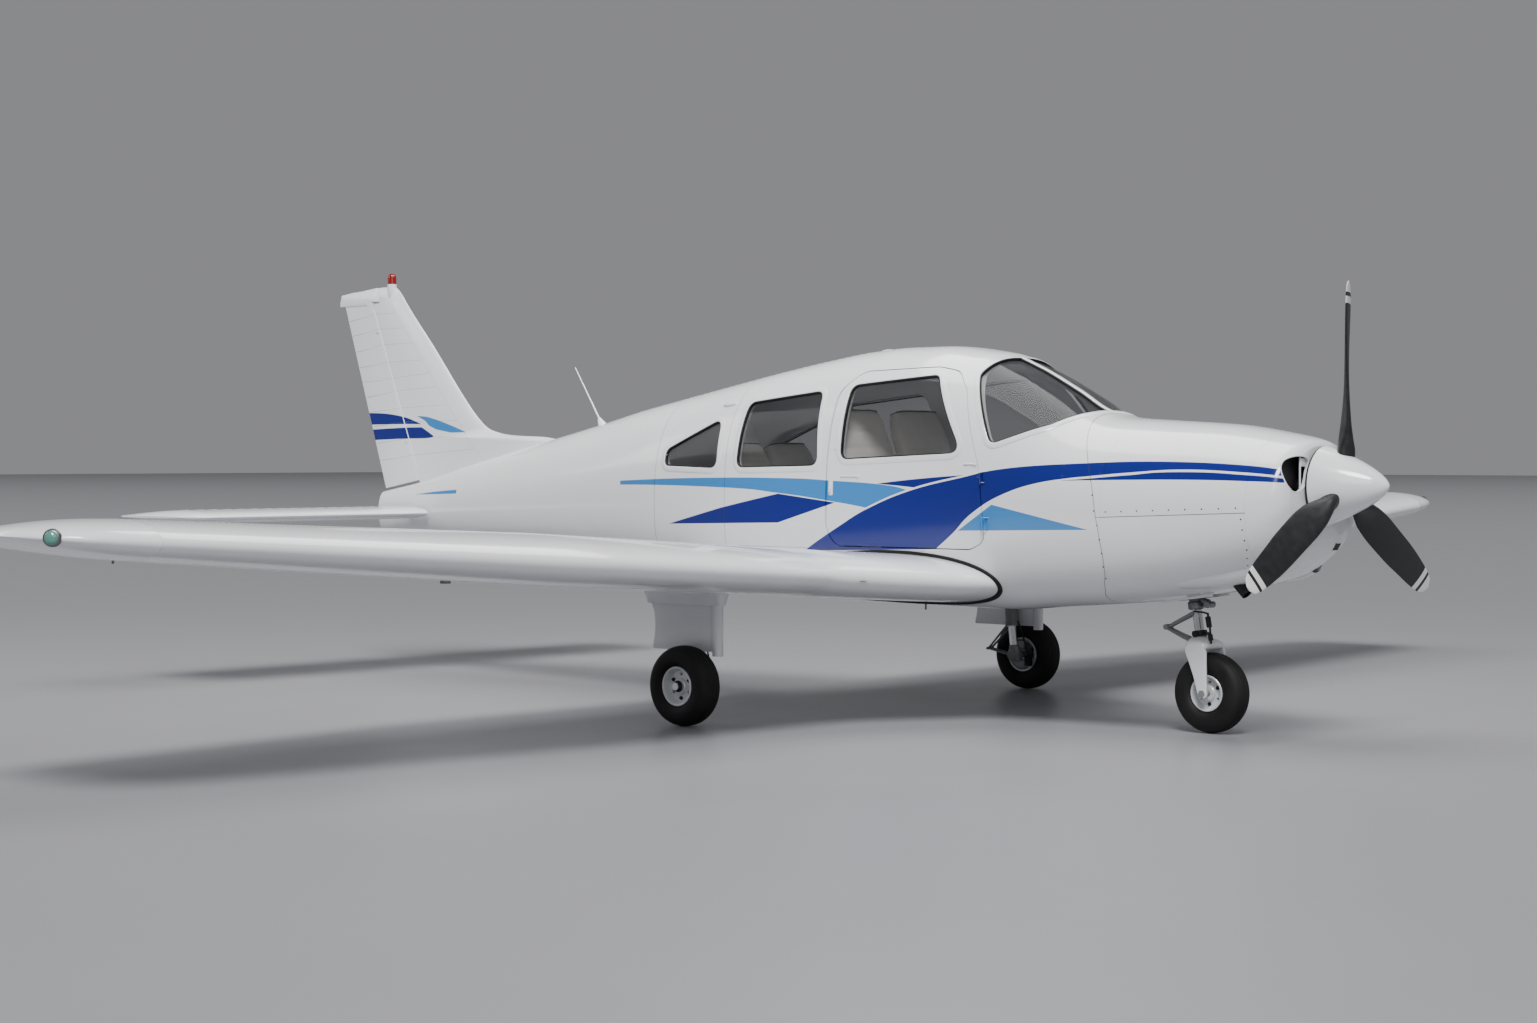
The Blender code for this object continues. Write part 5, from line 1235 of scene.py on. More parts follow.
def buildPropeller():
    bladeFinish = bladePaint()
    cone = []
    for i in range(47):
        t = (i / 46) ** 1.7
        cone.append((max(propeller["spinnerR"] * t ** propeller["power"], 0.0005), -propeller["base"] * t))
    shape = Shape().spin(at(0, 0, propeller["z"]), xAxis, cone + [(0.187, -0.3255), (0.0005, -0.3255)], 96,
                         loop=False)
    piece("spinnerShell", shape, [white], "propeller", ["spinner"], 34)
    rim = [(0.0006, 0), (0.1865, 0), (0.1865, 0.0105), (0.180, 0.0118), (0.0006, 0.0118)]
    plate = Shape().spin(at(0.3257, 0, propeller["z"]), -xAxis, rim, 96, loop=False)
    piece("spinnerBackPlate", plate, [trimBlack], "propeller", ["propeller_hub"], 40)
    turned = at(propeller["s"], 0, propeller["z"])
    hub = Shape().rod(turned - xAxis * 0.09, turned + xAxis * 0.05, 0.085, sides=48)
    piece("propellerHub", hub, [steel], "propeller", ["propeller_hub"])
    for k, degrees in enumerate(propeller["turns"]):
        rings = []
        for r in steps(0.0853, 0.93, 0.018) + [0.938, 0.945, 0.951, 0.956, 0.960, 0.963, 0.965]:
            chord, thick, twist, shift = bladeChord(r), bladeThick(r), radians(bladeTwist(r)), bladeShift(r)
            ring = []
            for i in range(32):
                a = 2 * pi * i / 32
                along, through = chord / 2 * cos(a) + shift, thick / 2 * sin(a) * (1 - 0.35 * cos(a))
                p = Vector((through * cos(twist) - along * sin(twist),
                            along * cos(twist) + through * sin(twist), r))
                ring.append(Matrix.Rotation(radians(degrees), 3, "X") @ p + turned)
            rings.append(ring)
        shape = Shape().skin(rings)
        piece("blade%d" % (k + 1), shape, [bladeFinish], "propeller", ["blade_%d" % (k + 1)], 50)
    print("propeller ready")


# Wheels and tyres

wheels = {
    # centre station, y, tyre radius, tyre width, rim radius, radius of the bore
    "left": (3.125, 1.46, 0.2025, 0.150, 0.100, 0.0193),
    "right": (3.125, -1.46, 0.2025, 0.150, 0.100, 0.0193),
    "front": (0.957, 0.0, 0.1975, 0.130, 0.090, 0.0143),
    "grooves": (-0.034, -0.012, 0.012, 0.034), "grooveDepth": 0.0045, "grooveHalf": 0.0028,
    # the rim's section as shares of its radius and of its half width
    "rim": [(0.36, 0.78), (0.40, 0.70), (0.42, 0.50), (0.62, 0.42), (0.78, 0.46), (0.84, 0.72), (0.87, 1.02),
            (0.90, 1.12), (0.97, 1.15), (1, 1.10), (1, 1.02), (0.90, 0.90)],
    "holeAngles": (90, 210, 330), "boltAngles": (30, 150, 270),
}


def tyreSection(radius, width, rim):
    # a round section with a flatter tread, four grooves and a bead that tucks behind the rim's flange
    made, inner = [], rim - 0.0115
    middle, reach = (radius + inner) / 2, (radius - inner) / 2
    count = 96
    for i in range(count):
        a = 2 * pi * i / count
        c, q = cos(a), sin(a)
        r, h = middle + reach * signedPower(c, 0.82), width / 2 * signedPower(q, 0.86)
        if c > 0.55:
            near = min(abs(h - g) for g in wheels["grooves"])
            r -= wheels["grooveDepth"] * max(0.0, 1 - (near / wheels["grooveHalf"]) ** 4)
        made.append((r, h))
    return made


def rimSection(rim, width, bore):
    w = width * 0.36
    half = [(-w * 0.78, bore)] + [(-w * h, rim * r) for r, h in wheels["rim"]]
    return [(r, h) for h, r in mirrored(half, [(0, rim * 0.88)])]


def buildWheel(key, body, rimNode, tyreNode):
    s, y, radius, width, rim, bore = wheels[key]
    centre = at(s, y, radius)
    tyre = Shape().spin(centre, yAxis, tyreSection(radius, width, rim), 96)
    piece(key + "Tyre", tyre, [tyreBlack], body, [tyreNode], 50)
    around = [Vector((x, 0, z)) for x, z in arc((0, 0), rim * 0.6, 0, 30, 12)]
    holes = Shape()
    for angle in wheels["holeAngles"]:
        spot = centre + around[angle // 30]
        holes.rod(spot - yAxis * width, spot + yAxis * width, rim * 0.085, sides=20)
    hub = loose(key + "Rim", Shape().spin(centre, yAxis, rimSection(rim, width, bore), 72), [rimMetal])
    carve(hub, "DIFFERENCE", holes)
    finishPiece(hub, body, [rimNode], 30)
    bolts = Shape()
    for side in bothSides:
        face = width * 0.36 * 0.44 * side
        for angle in wheels["boltAngles"]:
            spot = centre + around[angle // 30]
            for proud, reach, sides in ((0.003, 0.010, 20), (0.011, 0.0062, 6)):
                bolts.rod(spot + yAxis * face * 0.8, spot + yAxis * (face + proud * side), reach, sides=sides)
    piece(key + "RimBolts", bolts, [darkMetal], body)


def buildGearWheels():
    for key in ("left", "right"):
        buildWheel(key, key + "_wheel", "main_%s_wheel" % key, "main_%s_tyre" % key)
    buildWheel("front", "front_wheel", "nose_wheel", "nose_tyre")


# Main and nose gear

gear = {
    "s": 3.122, "y": 1.325, "lean": 0.10, "wheelS": 3.125, "wheelZ": 0.2025, "axleEnd": 1.530,
    "knee": (3.300, 0.235), "plateY": (0.0372, 0.0420),
    "cap": [(0.0008, 0.012), (0.014, 0.011), (0.024, 0.006), (0.029, -0.002), (0.029, -0.006),
            (0.0008, -0.006)],
    "plate": [(2.975, 0.372), (3.440, 0.372), (3.424, 0.44), (3.419, 0.50), (3.426, 0.56), (3.452, 0.612),
              (2.975, 0.612)],
    "fairing": (2.985, 0.028, 0.352), "collar": [(0.606, 2.940, 3.455, 0.020, 0.075),
                                                 (0.650, 2.932, 3.465, 0.010, 0.084),
                                                 (0.72, 2.90, 3.49, -0.020, 0.120)],
    "steerTop": (1.054, 0.664), "steerLean": 0.147,
    "forkLegs": [(1.004, 0.432, 0.078), (1.001, 0.420, 0.110), (0.996, 0.400, 0.119), (0.984, 0.345, 0.096),
                 (0.971, 0.285, 0.074), (0.961, 0.220, 0.056), (0.957, 0.1975, 0.052), (0.956, 0.184, 0.044),
                 (0.955, 0.177, 0.028)],
    "noseDoor": [(0.905, 0.673), (0.905, 0.687), (1.195, 0.646), (1.195, 0.633)],
    "noseDoorY": (0.0757, 0.0790),
}


def legPoint(side, z, out=0.0):
    return at(gear["s"] + gear["lean"] * (z - gear["wheelZ"]), side * (gear["y"] + out), z)


def buildMainLeg(side, label):
    y = gear["y"]
    leg, bright, skin = Shape(), Shape(), Shape()
    leg.rod(legPoint(side, 0.385), legPoint(side, 0.72), 0.036, sides=32)
    leg.rod(legPoint(side, 0.372), legPoint(side, 0.400), 0.041, sides=32, roundEnd=0.004)
    leg.rod(legPoint(side, 0.165), legPoint(side, 0.262), 0.030, sides=32, roundEnd=0.005)
    leg.rod(legPoint(side, gear["wheelZ"], -0.036), legPoint(side, gear["wheelZ"], 0.036), 0.030, sides=32,
            roundEnd=0.003)
    knee = at(gear["knee"][0], side * y, gear["knee"][1])
    upper, lower = legPoint(side, 0.392), legPoint(side, 0.200)
    for link in (((upper, 0.030), (knee.lerp(upper, 0.5), 0.022), (knee, 0.014)),
                 ((knee, 0.014), (knee.lerp(lower, 0.5), 0.020), (lower, 0.026))):
        for shift in (-1, 1):
            leg.tube([p + yAxis * shift * wide for p, wide in link], 0.0062, 10)
    leg.rod(knee - yAxis * 0.028, knee + yAxis * 0.028, 0.0085, sides=12)
    bright.rod(legPoint(side, 0.25), legPoint(side, 0.39), 0.0245, sides=64)
    hub = at(gear["wheelS"], side * (y + 0.02), gear["wheelZ"])
    end = at(gear["wheelS"], side * gear["axleEnd"], gear["wheelZ"])
    bright.rod(hub, end, 0.019, sides=24)
    disc, out = at(gear["wheelS"], side * 1.394, gear["wheelZ"]), yAxis * side
    brake = Shape().spin(disc, out, [(0.036, 0), (0.079, 0), (0.079, 0.006), (0.036, 0.006)], 48)
    cap = Shape().spin(end - out * 0.016, out, gear["cap"], 32, loop=False)
    caliper = Shape().box(at(3.083, side * 1.362, 0.140), at(3.045, side * 1.3935, 0.200))
    outline = [Vector((p.x, p.y)) for p in rounded(gear["plate"], 0.012, 4)]
    skin.skin([[at(p.x, side * (y + q), p.y) for p in outline] for q in gear["plateY"]])
    s, r, low = gear["fairing"]
    centre = at(s, side * (y + 0.042), low)
    skin.rod(centre, centre + zAxis * 0.26, r, sides=36)
    rings = []
    for z, front, rear, inner, outer in gear["collar"]:
        corners = [(front, inner), (rear, inner), (rear, outer), (front, outer)]
        rings.append([at(p.x, side * (y + p.y), z) for p in rounded(corners, 0.03, 8)])
    skin.skin(rings)
    for name, shape, finish, slot, bevel in (
            ("LegPlate", skin, white, "paint", 0.0012), ("LegCasting", leg, castGrey, "metal", 0),
            ("LegPiston", bright, chrome, "metal", 0), ("AxleCap", cap, trimBlack, "rubber", 0),
            ("BrakeDisc", brake, steel, "metal", 0), ("BrakeCaliper", caliper, darkMetal, "metal", 0.004)):
        piece(label + name, shape, [finish], "airframe", ["main_leg_" + label], 35, bevel)
    hose = Shape().tube([legPoint(side, 0.40) + xAxis * 0.040, legPoint(side, 0.34, 0.008) + xAxis * 0.058,
                         legPoint(side, 0.27, 0.022) + xAxis * 0.064, at(3.060, side * (y + 0.045), 0.200)],
                        0.0042, 10)
    piece(label + "BrakeLine", hose, [trimBlack], "airframe")


def steerAt(z):
    s, top = gear["steerTop"]
    return s + gear["steerLean"] * (z - top)


def buildNoseGear():
    def onAxis(z, forward=0.0, y=0.0):
        return at(steerAt(z) - forward, y, z)
    tube, dark, bright = Shape(), Shape(), Shape()
    tube.rod(onAxis(0.82), onAxis(0.602), 0.034, sides=36)
    tube.rod(onAxis(0.642), onAxis(0.606), 0.041, sides=36, roundEnd=0.004)
    tube.rod(onAxis(0.79, 0, -0.24), onAxis(0.79, 0, 0.24), 0.016, sides=20)
    for y in (0.12, -0.12):
        tube.rod(onAxis(0.76), at(1.25, y, 0.80), 0.014, sides=16)
        tube.rod(at(1.235, y, 0.80), at(1.2695, y, 0.80), 0.022, sides=20)
    dark.rod(onAxis(0.655), onAxis(0.640, 0.078), 0.014, sides=16)
    dark.rod(onAxis(0.628, 0.078, -0.030), onAxis(0.628, 0.078, 0.030), 0.016, sides=20)
    piece("noseStrutTube", tube, [steel], "airframe", ["nose_strut"], 35)
    piece("noseStrutLug", dark, [castGrey], "airframe", ["nose_strut"], 35)
    bright.rod(onAxis(0.455), onAxis(0.6005), 0.0238, sides=64)
    fork, links = Shape(), Shape()
    rings = []
    for z, front, rear, half in ((0.412, 0.946, 1.056, 0.0935), (0.424, 0.938, 1.060, 0.0935),
                                 (0.440, 0.940, 1.062, 0.090), (0.452, 0.955, 1.060, 0.078),
                                 (0.466, 0.985, 1.058, 0.044), (0.472, 0.995, 1.056, 0.036)):
        corners = [(front, -half), (rear, -half), (rear, half), (front, half)]
        rings.append([at(p.x, p.y, z) for p in rounded(corners, 0.03, 8)])
    fork.skin(rings)
    for side in bothSides:
        rings = []
        for s, z, wide in gear["forkLegs"]:
            half = wide / 2
            rings.append([at(s + half * u, side * y, z) for u, y in
                          mirrored([(-1, 0.0805), (-0.96, 0.079), (-0.85, 0.078)])
                          + mirrored([(1, 0.0915), (0.93, 0.0935), (0.80, 0.094)])])
        fork.skin(rings)
    piece("noseFork", fork, [white], "nose_leg", ["nose_fork"], 40, 0.0015)
    links.rod(at(0.957, -0.100, 0.1975), at(0.957, 0.100, 0.1975), 0.014, sides=24)
    for side in bothSides:
        links.rod(at(0.957, side * 0.094, 0.1975), at(0.957, side * 0.0995, 0.1975), 0.019, sides=6)
        links.tube([at(1.058, side * 0.030, 0.446), at(1.14, side * 0.020, 0.476),
                    at(1.210, side * 0.012, 0.505)],
                   0.0075, 12)
        links.tube([at(steerAt(0.59), side * 0.026, 0.590), at(1.13, side * 0.018, 0.548),
                    at(1.210, side * 0.010, 0.508)], 0.0078, 12)
    links.rod(at(1.210, -0.026, 0.510), at(1.210, 0.026, 0.510), 0.014, sides=20)
    piece("noseLinks", links, [castGrey], "nose_leg", ["nose_fork"], 35)
    bright.rod(onAxis(0.594, 0, -0.031), onAxis(0.594, 0, 0.031), 0.0095, sides=16)
    piece("nosePiston", bright, [chrome], "nose_leg", ["nose_fork"], 35)
    collar = Shape().rod(onAxis(0.470), onAxis(0.500), 0.037, sides=36, roundEnd=0.005)
    collar.rod(onAxis(0.484, 0, -0.050), onAxis(0.484, 0, 0.050), 0.016, sides=20, roundEnd=0.003)
    damper = at(0.945, -0.044, 0.520)
    collar.rod(damper, damper + Vector((-0.012, 0.004, 0.052)), 0.0135, sides=20, roundEnd=0.003)
    collar.rod(damper + Vector((0.010, 0, -0.064)), damper + Vector((0.004, 0, -0.034)), 0.012, sides=20,
               roundEnd=0.003)
    collar.tube([damper + Vector((0.010, 0, -0.080)), damper + Vector((0.004, 0, -0.01)),
                 damper + Vector((-0.014, 0.006, 0.070))], 0.0055, 12)
    collar.rod(onAxis(0.486), damper + Vector((0.004, 0, -0.030)), 0.007, sides=12)
    collar.tube([damper + Vector((-0.013, 0.0055, 0.066)), at(0.982, -0.042, 0.592),
                 onAxis(0.5935, 0, -0.030)], 0.0045, 10)
    piece("noseCollarAndDamper", collar, [trimBlack], "nose_leg", ["nose_fork"], 35)
    doors = Shape()
    for side in bothSides:
        doors.skin([[at(s, side * y, z) for s, z in gear["noseDoor"]] for y in gear["noseDoorY"]])
        doors.rod(at(0.93, side * 0.079, 0.687), at(1.17, side * 0.079, 0.648), 0.004, sides=10)
    piece("noseGearDoors", doors, [white], bevel=0.001)


# Engine, scoops, exhaust, vents, lights and aerial

scoop = {
    # station, first and last angle round the section, and height over the skin
    "rings": [(0.520, -67, -48, 0.030), (0.60, -67, -48, 0.032), (0.68, -66.2, -48, 0.028),
              (0.76, -65, -48, 0.022), (0.86, -63.5, -48.8, 0.0125), (0.95, -61, -50, 0.003)],
    "facing": 65, "wall": 0.0035,
}


def scoopArch(s, first, last, height, side, inset=0.0):
    foot = section(s, 0.002, radians(first) + inset * 3.2, radians(last) - inset * 3.2, 28)
    out = Vector((0, cos(radians(scoop["facing"])), -sin(radians(scoop["facing"]))))
    ring = [p + out * (height - inset) * max(sin(pi * i / 28), 0.0) ** 0.6 for i, p in enumerate(foot)]
    return [Vector((p.x, side * p.y, p.z)) for p in ring]


def buildCowlDetails():
    hoods, mouths = Shape(), Shape()
    for side in bothSides:
        hoods.skin([scoopArch(*row, side) + list(reversed(scoopArch(*row, side, scoop["wall"])))
                    for row in scoop["rings"]])
        # a dark plug that fills each scoop's mouth: painted shade for the dark opening
        row = scoop["rings"][1]
        arch = scoopArch(row[0] - 0.02, row[1], row[2], row[3] - 0.003, side)
        foot = [Vector((p.x, side * p.y, p.z)) for p in
                section(row[0] - 0.02, -0.0015, radians(row[1]), radians(row[2]), 28)]
        loop = arch + list(reversed(foot))
        mouths.skin([loop, [p - xAxis * 0.10 for p in loop]])
    piece("chinScoops", hoods, [white], sharp=45)
    piece("chinScoopPaintedShade", mouths, [trimBlack], "airframe")
    lip, posts, dark = Shape(), Shape(), Shape()
    for side in bothSides:
        path = []
        for p in inletLoop():
            hit = bodySurface.tree.ray_cast(at(0.30, side * p.x, p.y), -xAxis)[0]
            path.append(hit if hit else at(0.345, side * p.x, p.y))
        lip.tube([p - xAxis * 0.0028 for p in path], 0.0040, 10, closed=True)
        posts.box(at(0.366, side * 0.1865, 1.188), at(0.357, side * 0.1925, 1.350))
        posts.box(at(0.366, side * 0.142, 1.306), at(0.357, side * 0.188, 1.345))
        # dark plugs behind the inlets' mouths, and below each inlet a dark patch inside a lip: painted shade
        # for the openings
        dark.skin([[at(s, side * p.x, p.y) for p in inletLoop()] for s in (0.405, 0.425)])
        spot, out = bodySurface.snap(at(0.372, side * 0.17, 0.921), Vector((1, 0, -0.3)))
        across = out.cross(zAxis).normalized()
        rise = across.cross(out).normalized()
        corners = [spot + across * a * 0.038 + rise * b * 0.020
                   for a, b in ((-1, -1), (1, -1), (1, 1), (-1, 1))]
        dark.skin([[c - out * 0.004 for c in corners], [c + out * 0.0008 for c in corners]])
        lip.tube([bodySurface.snap(p, out)[0] for p in dense(corners, 0.006)], 0.0020, 8, closed=True)
    piece("inletLips", lip, [white])
    piece("inletPosts", posts, [white], bevel=0.002)
    piece("inletPaintedShade", dark, [trimBlack], "airframe")
    outline = mirrored([(-0.34, 0.98), (-0.30, 0.88)]) + mirrored([(0.34, 1.22), (0.26, 1.34)])
    block = Shape().skin([[at(s, y, z) for y, z in outline] for s in (0.60, 1.12)])
    block.rod(at(0.3373, 0, 1.215), at(0.62, 0, 1.215), 0.038, sides=32)
    for y, z in ((0.22, 0.95), (-0.22, 0.95), (0.22, 1.25), (-0.22, 1.25)):
        block.rod(at(1.10, y, z), at(1.2697, y, z), 0.022, sides=16)
    piece("engineBlock", block, [castGrey], "airframe", ["engine"], bevel=0.006)
    start, end = at(0.655, -0.17, 0.695), at(0.86, -0.17, 0.90)
    pipe = Shape().turned(start, end, ((0.05, 0.0245), (0.0008, 0.0245), (0, 0.0252), (0, 0.0275),
                                       (0.0008, 0.028), (0.26, 0.028)), 32)
    piece("exhaustPipe", pipe, [darkMetal], "airframe", ["engine"], 35)


small = {
    "handle": (2.925, 1.165, 1.215), "latch": (2.906, 1.394), "beacon": (7.06, 2.4323),
    "beaconBase": [(0.0006, -0.070), (0.0215, -0.070), (0.0260, -0.050), (0.0290, -0.026), (0.0305, 0.004),
                   (0.0305, 0.014), (0.0290, 0.016), (0.0006, 0.016)],
    "beaconLens": [(0.0006, 0.0125), (0.0280, 0.0125), (0.0280, 0.055), (0.0270, 0.064), (0.0240, 0.073),
                   (0.0185, 0.080), (0.0100, 0.084), (0.0006, 0.085)],
    "whip": ((5.143, 1.50), (5.396, 1.883)), "whipFoot": 1.578,
    "roofVents": ((2.98, 0.056, 0.012), (4.08, 0.038, 0.010)), "lever": (2.798, 1.252), "bar": (2.030, 1.315),
    "sideScoop": (3.785, 1.636), "drains": ((3.06, 4.90), (2.62, 0.92), (2.50, 0.30)),
}


def whipAt(z):
    (s0, z0), (s1, z1) = small["whip"]
    return at(s0 + (s1 - s0) * (z - z0) / (z1 - z0), 0, z)


def dome(shape, centre, along, across, up, size):
    # half an ellipsoid that stands on the skin
    rings = []
    for k in range(9):
        lift = sin(pi / 2 * k / 8)
        reach = max(cos(pi / 2 * k / 8), 0.02)
        rings.append([centre + along * size[0] * reach * cos(2 * pi * i / 28) + across * size[1] * reach
                      * sin(2 * pi * i / 28) + up * (size[2] * lift - 0.004 * (k == 0)) for i in range(28)])
    shape.skin(rings)


def buildSmallParts():
    s, low, high = small["handle"]
    plate, grip = Shape(), Shape()
    for z0, z1, half, proud, target in ((low - 0.014, high + 0.016, 0.014, 0.0015, plate),
                                        (low, high, 0.0065, 0.012, grip)):
        rings = []
        for lift in (-0.006, proud * 0.7, proud):
            shrink = 0 if lift < proud else 0.0015
            ring = []
            for p in rounded([(s - half + shrink, z0 + shrink), (s + half - shrink, z0 + shrink),
                              (s + half - shrink, z1 - shrink), (s - half + shrink, z1 - shrink)], 0.006, 5):
                spot, normal = onSkin(p.x, p.y, -1)
                ring.append(spot + normal * lift)
            rings.append(ring)
        target.skin(rings)
    piece("doorHandlePlate", plate, [white], "door")
    piece("doorHandleGrip", grip, [white], "door")
    spot, normal = onSkin(*small["latch"], -1)
    latch = Shape().rod(spot - normal * 0.004, spot + normal * 0.003, 0.009, sides=24)
    latch.rod(spot - normal * 0.004, spot + normal * 0.008, 0.004, sides=12)
    for (s, z), half in ((small["lever"], 0.060), (small["bar"], 0.036)):
        a, b = (onSkin(s + end * half, z, -1) for end in (-1, 1))
        latch.rod(a[0] + a[1] * 0.003, b[0] + b[1] * 0.003, 0.0045, sides=14, roundEnd=0.002)
        latch.rod(a[0] - a[1] * 0.004, a[0] + a[1] * 0.007, 0.008, sides=20)
    piece("doorUpperLatch", latch, [white], "door")

    s, z = small["beacon"]
    for name, finish in (("Base", white), ("Lens", redLens)):
        shape = Shape().spin(at(s, 0, z), zAxis, small["beacon" + name], 40, loop=False)
        piece("beacon" + name, shape, [finish], "airframe", ["beacon"])

    foot = Shape().rod(whipAt(1.53), whipAt(small["whipFoot"]), 0.030, 0.010, sides=28)
    rod = Shape().rod(whipAt(small["whipFoot"] - 0.002), whipAt(small["whip"][1][1]), 0.0055, 0.0028,
                      sides=14)
    piece("whipFoot", foot, [white])
    piece("whipAntenna", rod, [white], "airframe", ["whip_antenna"])

    vents, scoops = Shape(), Shape()
    for s, length, height in small["roofVents"]:
        dome(vents, at(s, 0, topLine(s)), xAxis, yAxis, zAxis, (length, 0.028, height))
    for side in bothSides:
        s, z = small["sideScoop"]
        spot, normal = onSkin(s, z, side)
        along = xAxis - normal * normal.x
        dome(scoops, spot, along.normalized(), normal.cross(along).normalized(), normal,
             (0.058, 0.014, 0.013))
    piece("roofVents", vents, [white])
    piece("sideScoops", scoops, [white])

    lamps = {1: redLens, -1: greenLens}
    for side in bothSides:
        glassy, socket = Shape(), Shape()
        y = 5.430
        lead = planAt(y)[0]
        centre = at(lead + 0.004, side * y, planeAt(y) + 0.002)
        back = (planAt(y + 0.02)[0] - planAt(y - 0.03)[0]) / 0.05
        sweep, across = Vector((1, side * back, 0)).normalized(), Vector((back, -side, 0)).normalized()
        dome(glassy, centre + sweep * 0.004, across, zAxis, sweep, (0.030, 0.029, 0.020))
        dome(socket, centre - sweep * 0.001, across, zAxis, sweep, (0.038, 0.036, 0.018))
        piece(wingLabels[side] + "LampLens", glassy, [lamps[side]])
        piece(wingLabels[side] + "LampSocket", socket, [steel])

    bits = Shape()
    lead = planAt(1.12)[0]
    bits.box(at(lead + 0.012, -1.105, 0.742), at(lead - 0.014, -1.135, 0.7435))
    bits.box(at(lead + 0.010, -1.109, 0.7425), at(lead - 0.022, -1.131, 0.7440))
    for side in bothSides:
        for s, y in small["drains"]:
            z = planeAt(y) - 0.075 if y > 0.6 else bottomLine(s)
            bits.rod(at(s, side * y, z + 0.03), at(s, side * y, z - 0.012), 0.0055, sides=12)
        s, y, z, radius = wing["pads"]
        bits.rod(at(s, side * y, z), at(s, side * y, z + 0.02), radius, sides=32)
    piece("vaneAndDrains", bits, [steel], "airframe")


# Cabin

seats = {
    # y, half width, front and rear station, height of the top, places of the cushion's channels
    "left": (0.255, 0.225, 2.36, 2.84, 1.60, (-0.55, -0.18, 0.18, 0.55)),
    "right": (-0.255, 0.225, 2.36, 2.84, 1.60, (-0.55, -0.18, 0.18, 0.55)),
    "bench": (0.0, 0.385, 3.30, 3.72, 1.42, (-0.78, -0.52, -0.26, 0.0, 0.26, 0.52, 0.78)),
    "floor": 0.7203, "lean": 0.20, "crown": 0.010, "groove": 0.006, "bars": (-0.62, -0.30, 0.02, 0.34, 0.62),
}


def padRound(around=40):
    # a rounded oblong as (sideways, up) shares of a pad's half width and thickness
    return [(signedPower(c, 0.42), signedPower(q, 0.55)) for c, q in arc((0, 0), 1, 0, 360 / around, around)]


def pad(name, centre, along, across, up, size, lines, node, square=12, narrow=0.93):
    # a crowned cushion with channels that run along it and a piped edge
    half, wide, thick = size
    rows, rings, piping = 56, [], Shape()

    def slim(end):
        return narrow + (1 - narrow) * end

    def endShare(u):
        return max(1 - abs(u) ** square, 0.0) ** 0.5
    for i in range(rows + 1):
        u = -1 + 2 * i / rows
        end = endShare(u)
        dip = sum(seats["groove"] * max(0.0, 1 - abs(u - c) / 0.035) for c in lines)
        ring = []
        for v, w in padRound():
            crown = seats["crown"] * (1 - v * v) * (1 - u * u)
            rise = (thick * (0.55 + 0.45 * end) + crown - dip * (1 - abs(v) ** 6)) * w
            reach = half * slim(end) - dip * 0.4 * abs(v) ** 6
            ring.append(centre + across * wide * u + along * reach * v + up * rise)
        rings.append(ring)
    obj = piece(name, Shape().skin(rings), [hide], "airframe", [node], 60)
    for u in (-0.965, 0.965):
        reach = half * 0.985 * slim(endShare(u))
        piping.tube([centre + across * wide * u + along * reach * v + up * thick * 0.90 * w
                     for v, w in padRound()], 0.0035, 8, closed=True)
    piece(name + "Piping", piping, [hideDark], "airframe")


def buildSeats():
    for label in ("left", "right", "bench"):
        node = "rear_bench" if label == "bench" else "seat_" + label
        y, half, front, rear, top, lines = seats[label]
        pad(label + "Cushion", at((front + rear) / 2 - 0.01, y, 0.965), -xAxis, yAxis, zAxis,
            ((rear - front) / 2 - 0.012, half - 0.006, 0.052), lines, node)
        low, high = at(rear - 0.035, y, 0.95), at(rear - 0.010 + seats["lean"], y, top - 0.005)
        lean = (high - low).normalized()
        backs = [(label, 0, half - 0.014)]
        if label == "bench":
            backs = [("benchLeft", 0.194, 0.184), ("benchRight", -0.194, 0.184)]
        for part, shift, width in backs:
            pad(part + "Back", low.lerp(high, 0.5) + yAxis * shift, yAxis, lean, lean.cross(yAxis),
                (width, (high - low).length / 2, 0.050), seats["bars"], node, 5, 0.70)
        metal = Shape()
        metal.box(at(rear - 0.08, y - half + 0.13, seats["floor"]), at(front + 0.08, y + half - 0.13, 0.925))
        for shift in (-1, 1):
            rail = y + shift * (half - 0.10)
            metal.box(at(rear, rail - 0.012, seats["floor"]), at(front, rail + 0.012, seats["floor"] + 0.030))
        piece(label + "SeatFrame", metal, [darkMetal], "airframe", [node], bevel=0.003)


panel = {
    "s": (1.80, 1.86), "half": 0.44, "z": (1.09, 1.36), "dialY": (0.34, 0.26, 0.18), "dialZ": (1.290, 1.205),
    "shield": [(1.62, 1.402), (1.76, 1.378), (1.88, 1.350), (1.905, 1.352), (1.908, 1.362), (1.895, 1.368),
               (1.76, 1.398), (1.62, 1.420)],
    "dialRim": [(0.031, -0.001), (0.037, -0.001), (0.037, 0.003), (0.034, 0.005), (0.031, 0.003)],
    "yoke": [(-0.134, 0.104), (-0.137, 0.09), (-0.132, 0.040), (-0.115, 0.010), (-0.08, 0.000)],
    "yokeZ": 1.20,
}


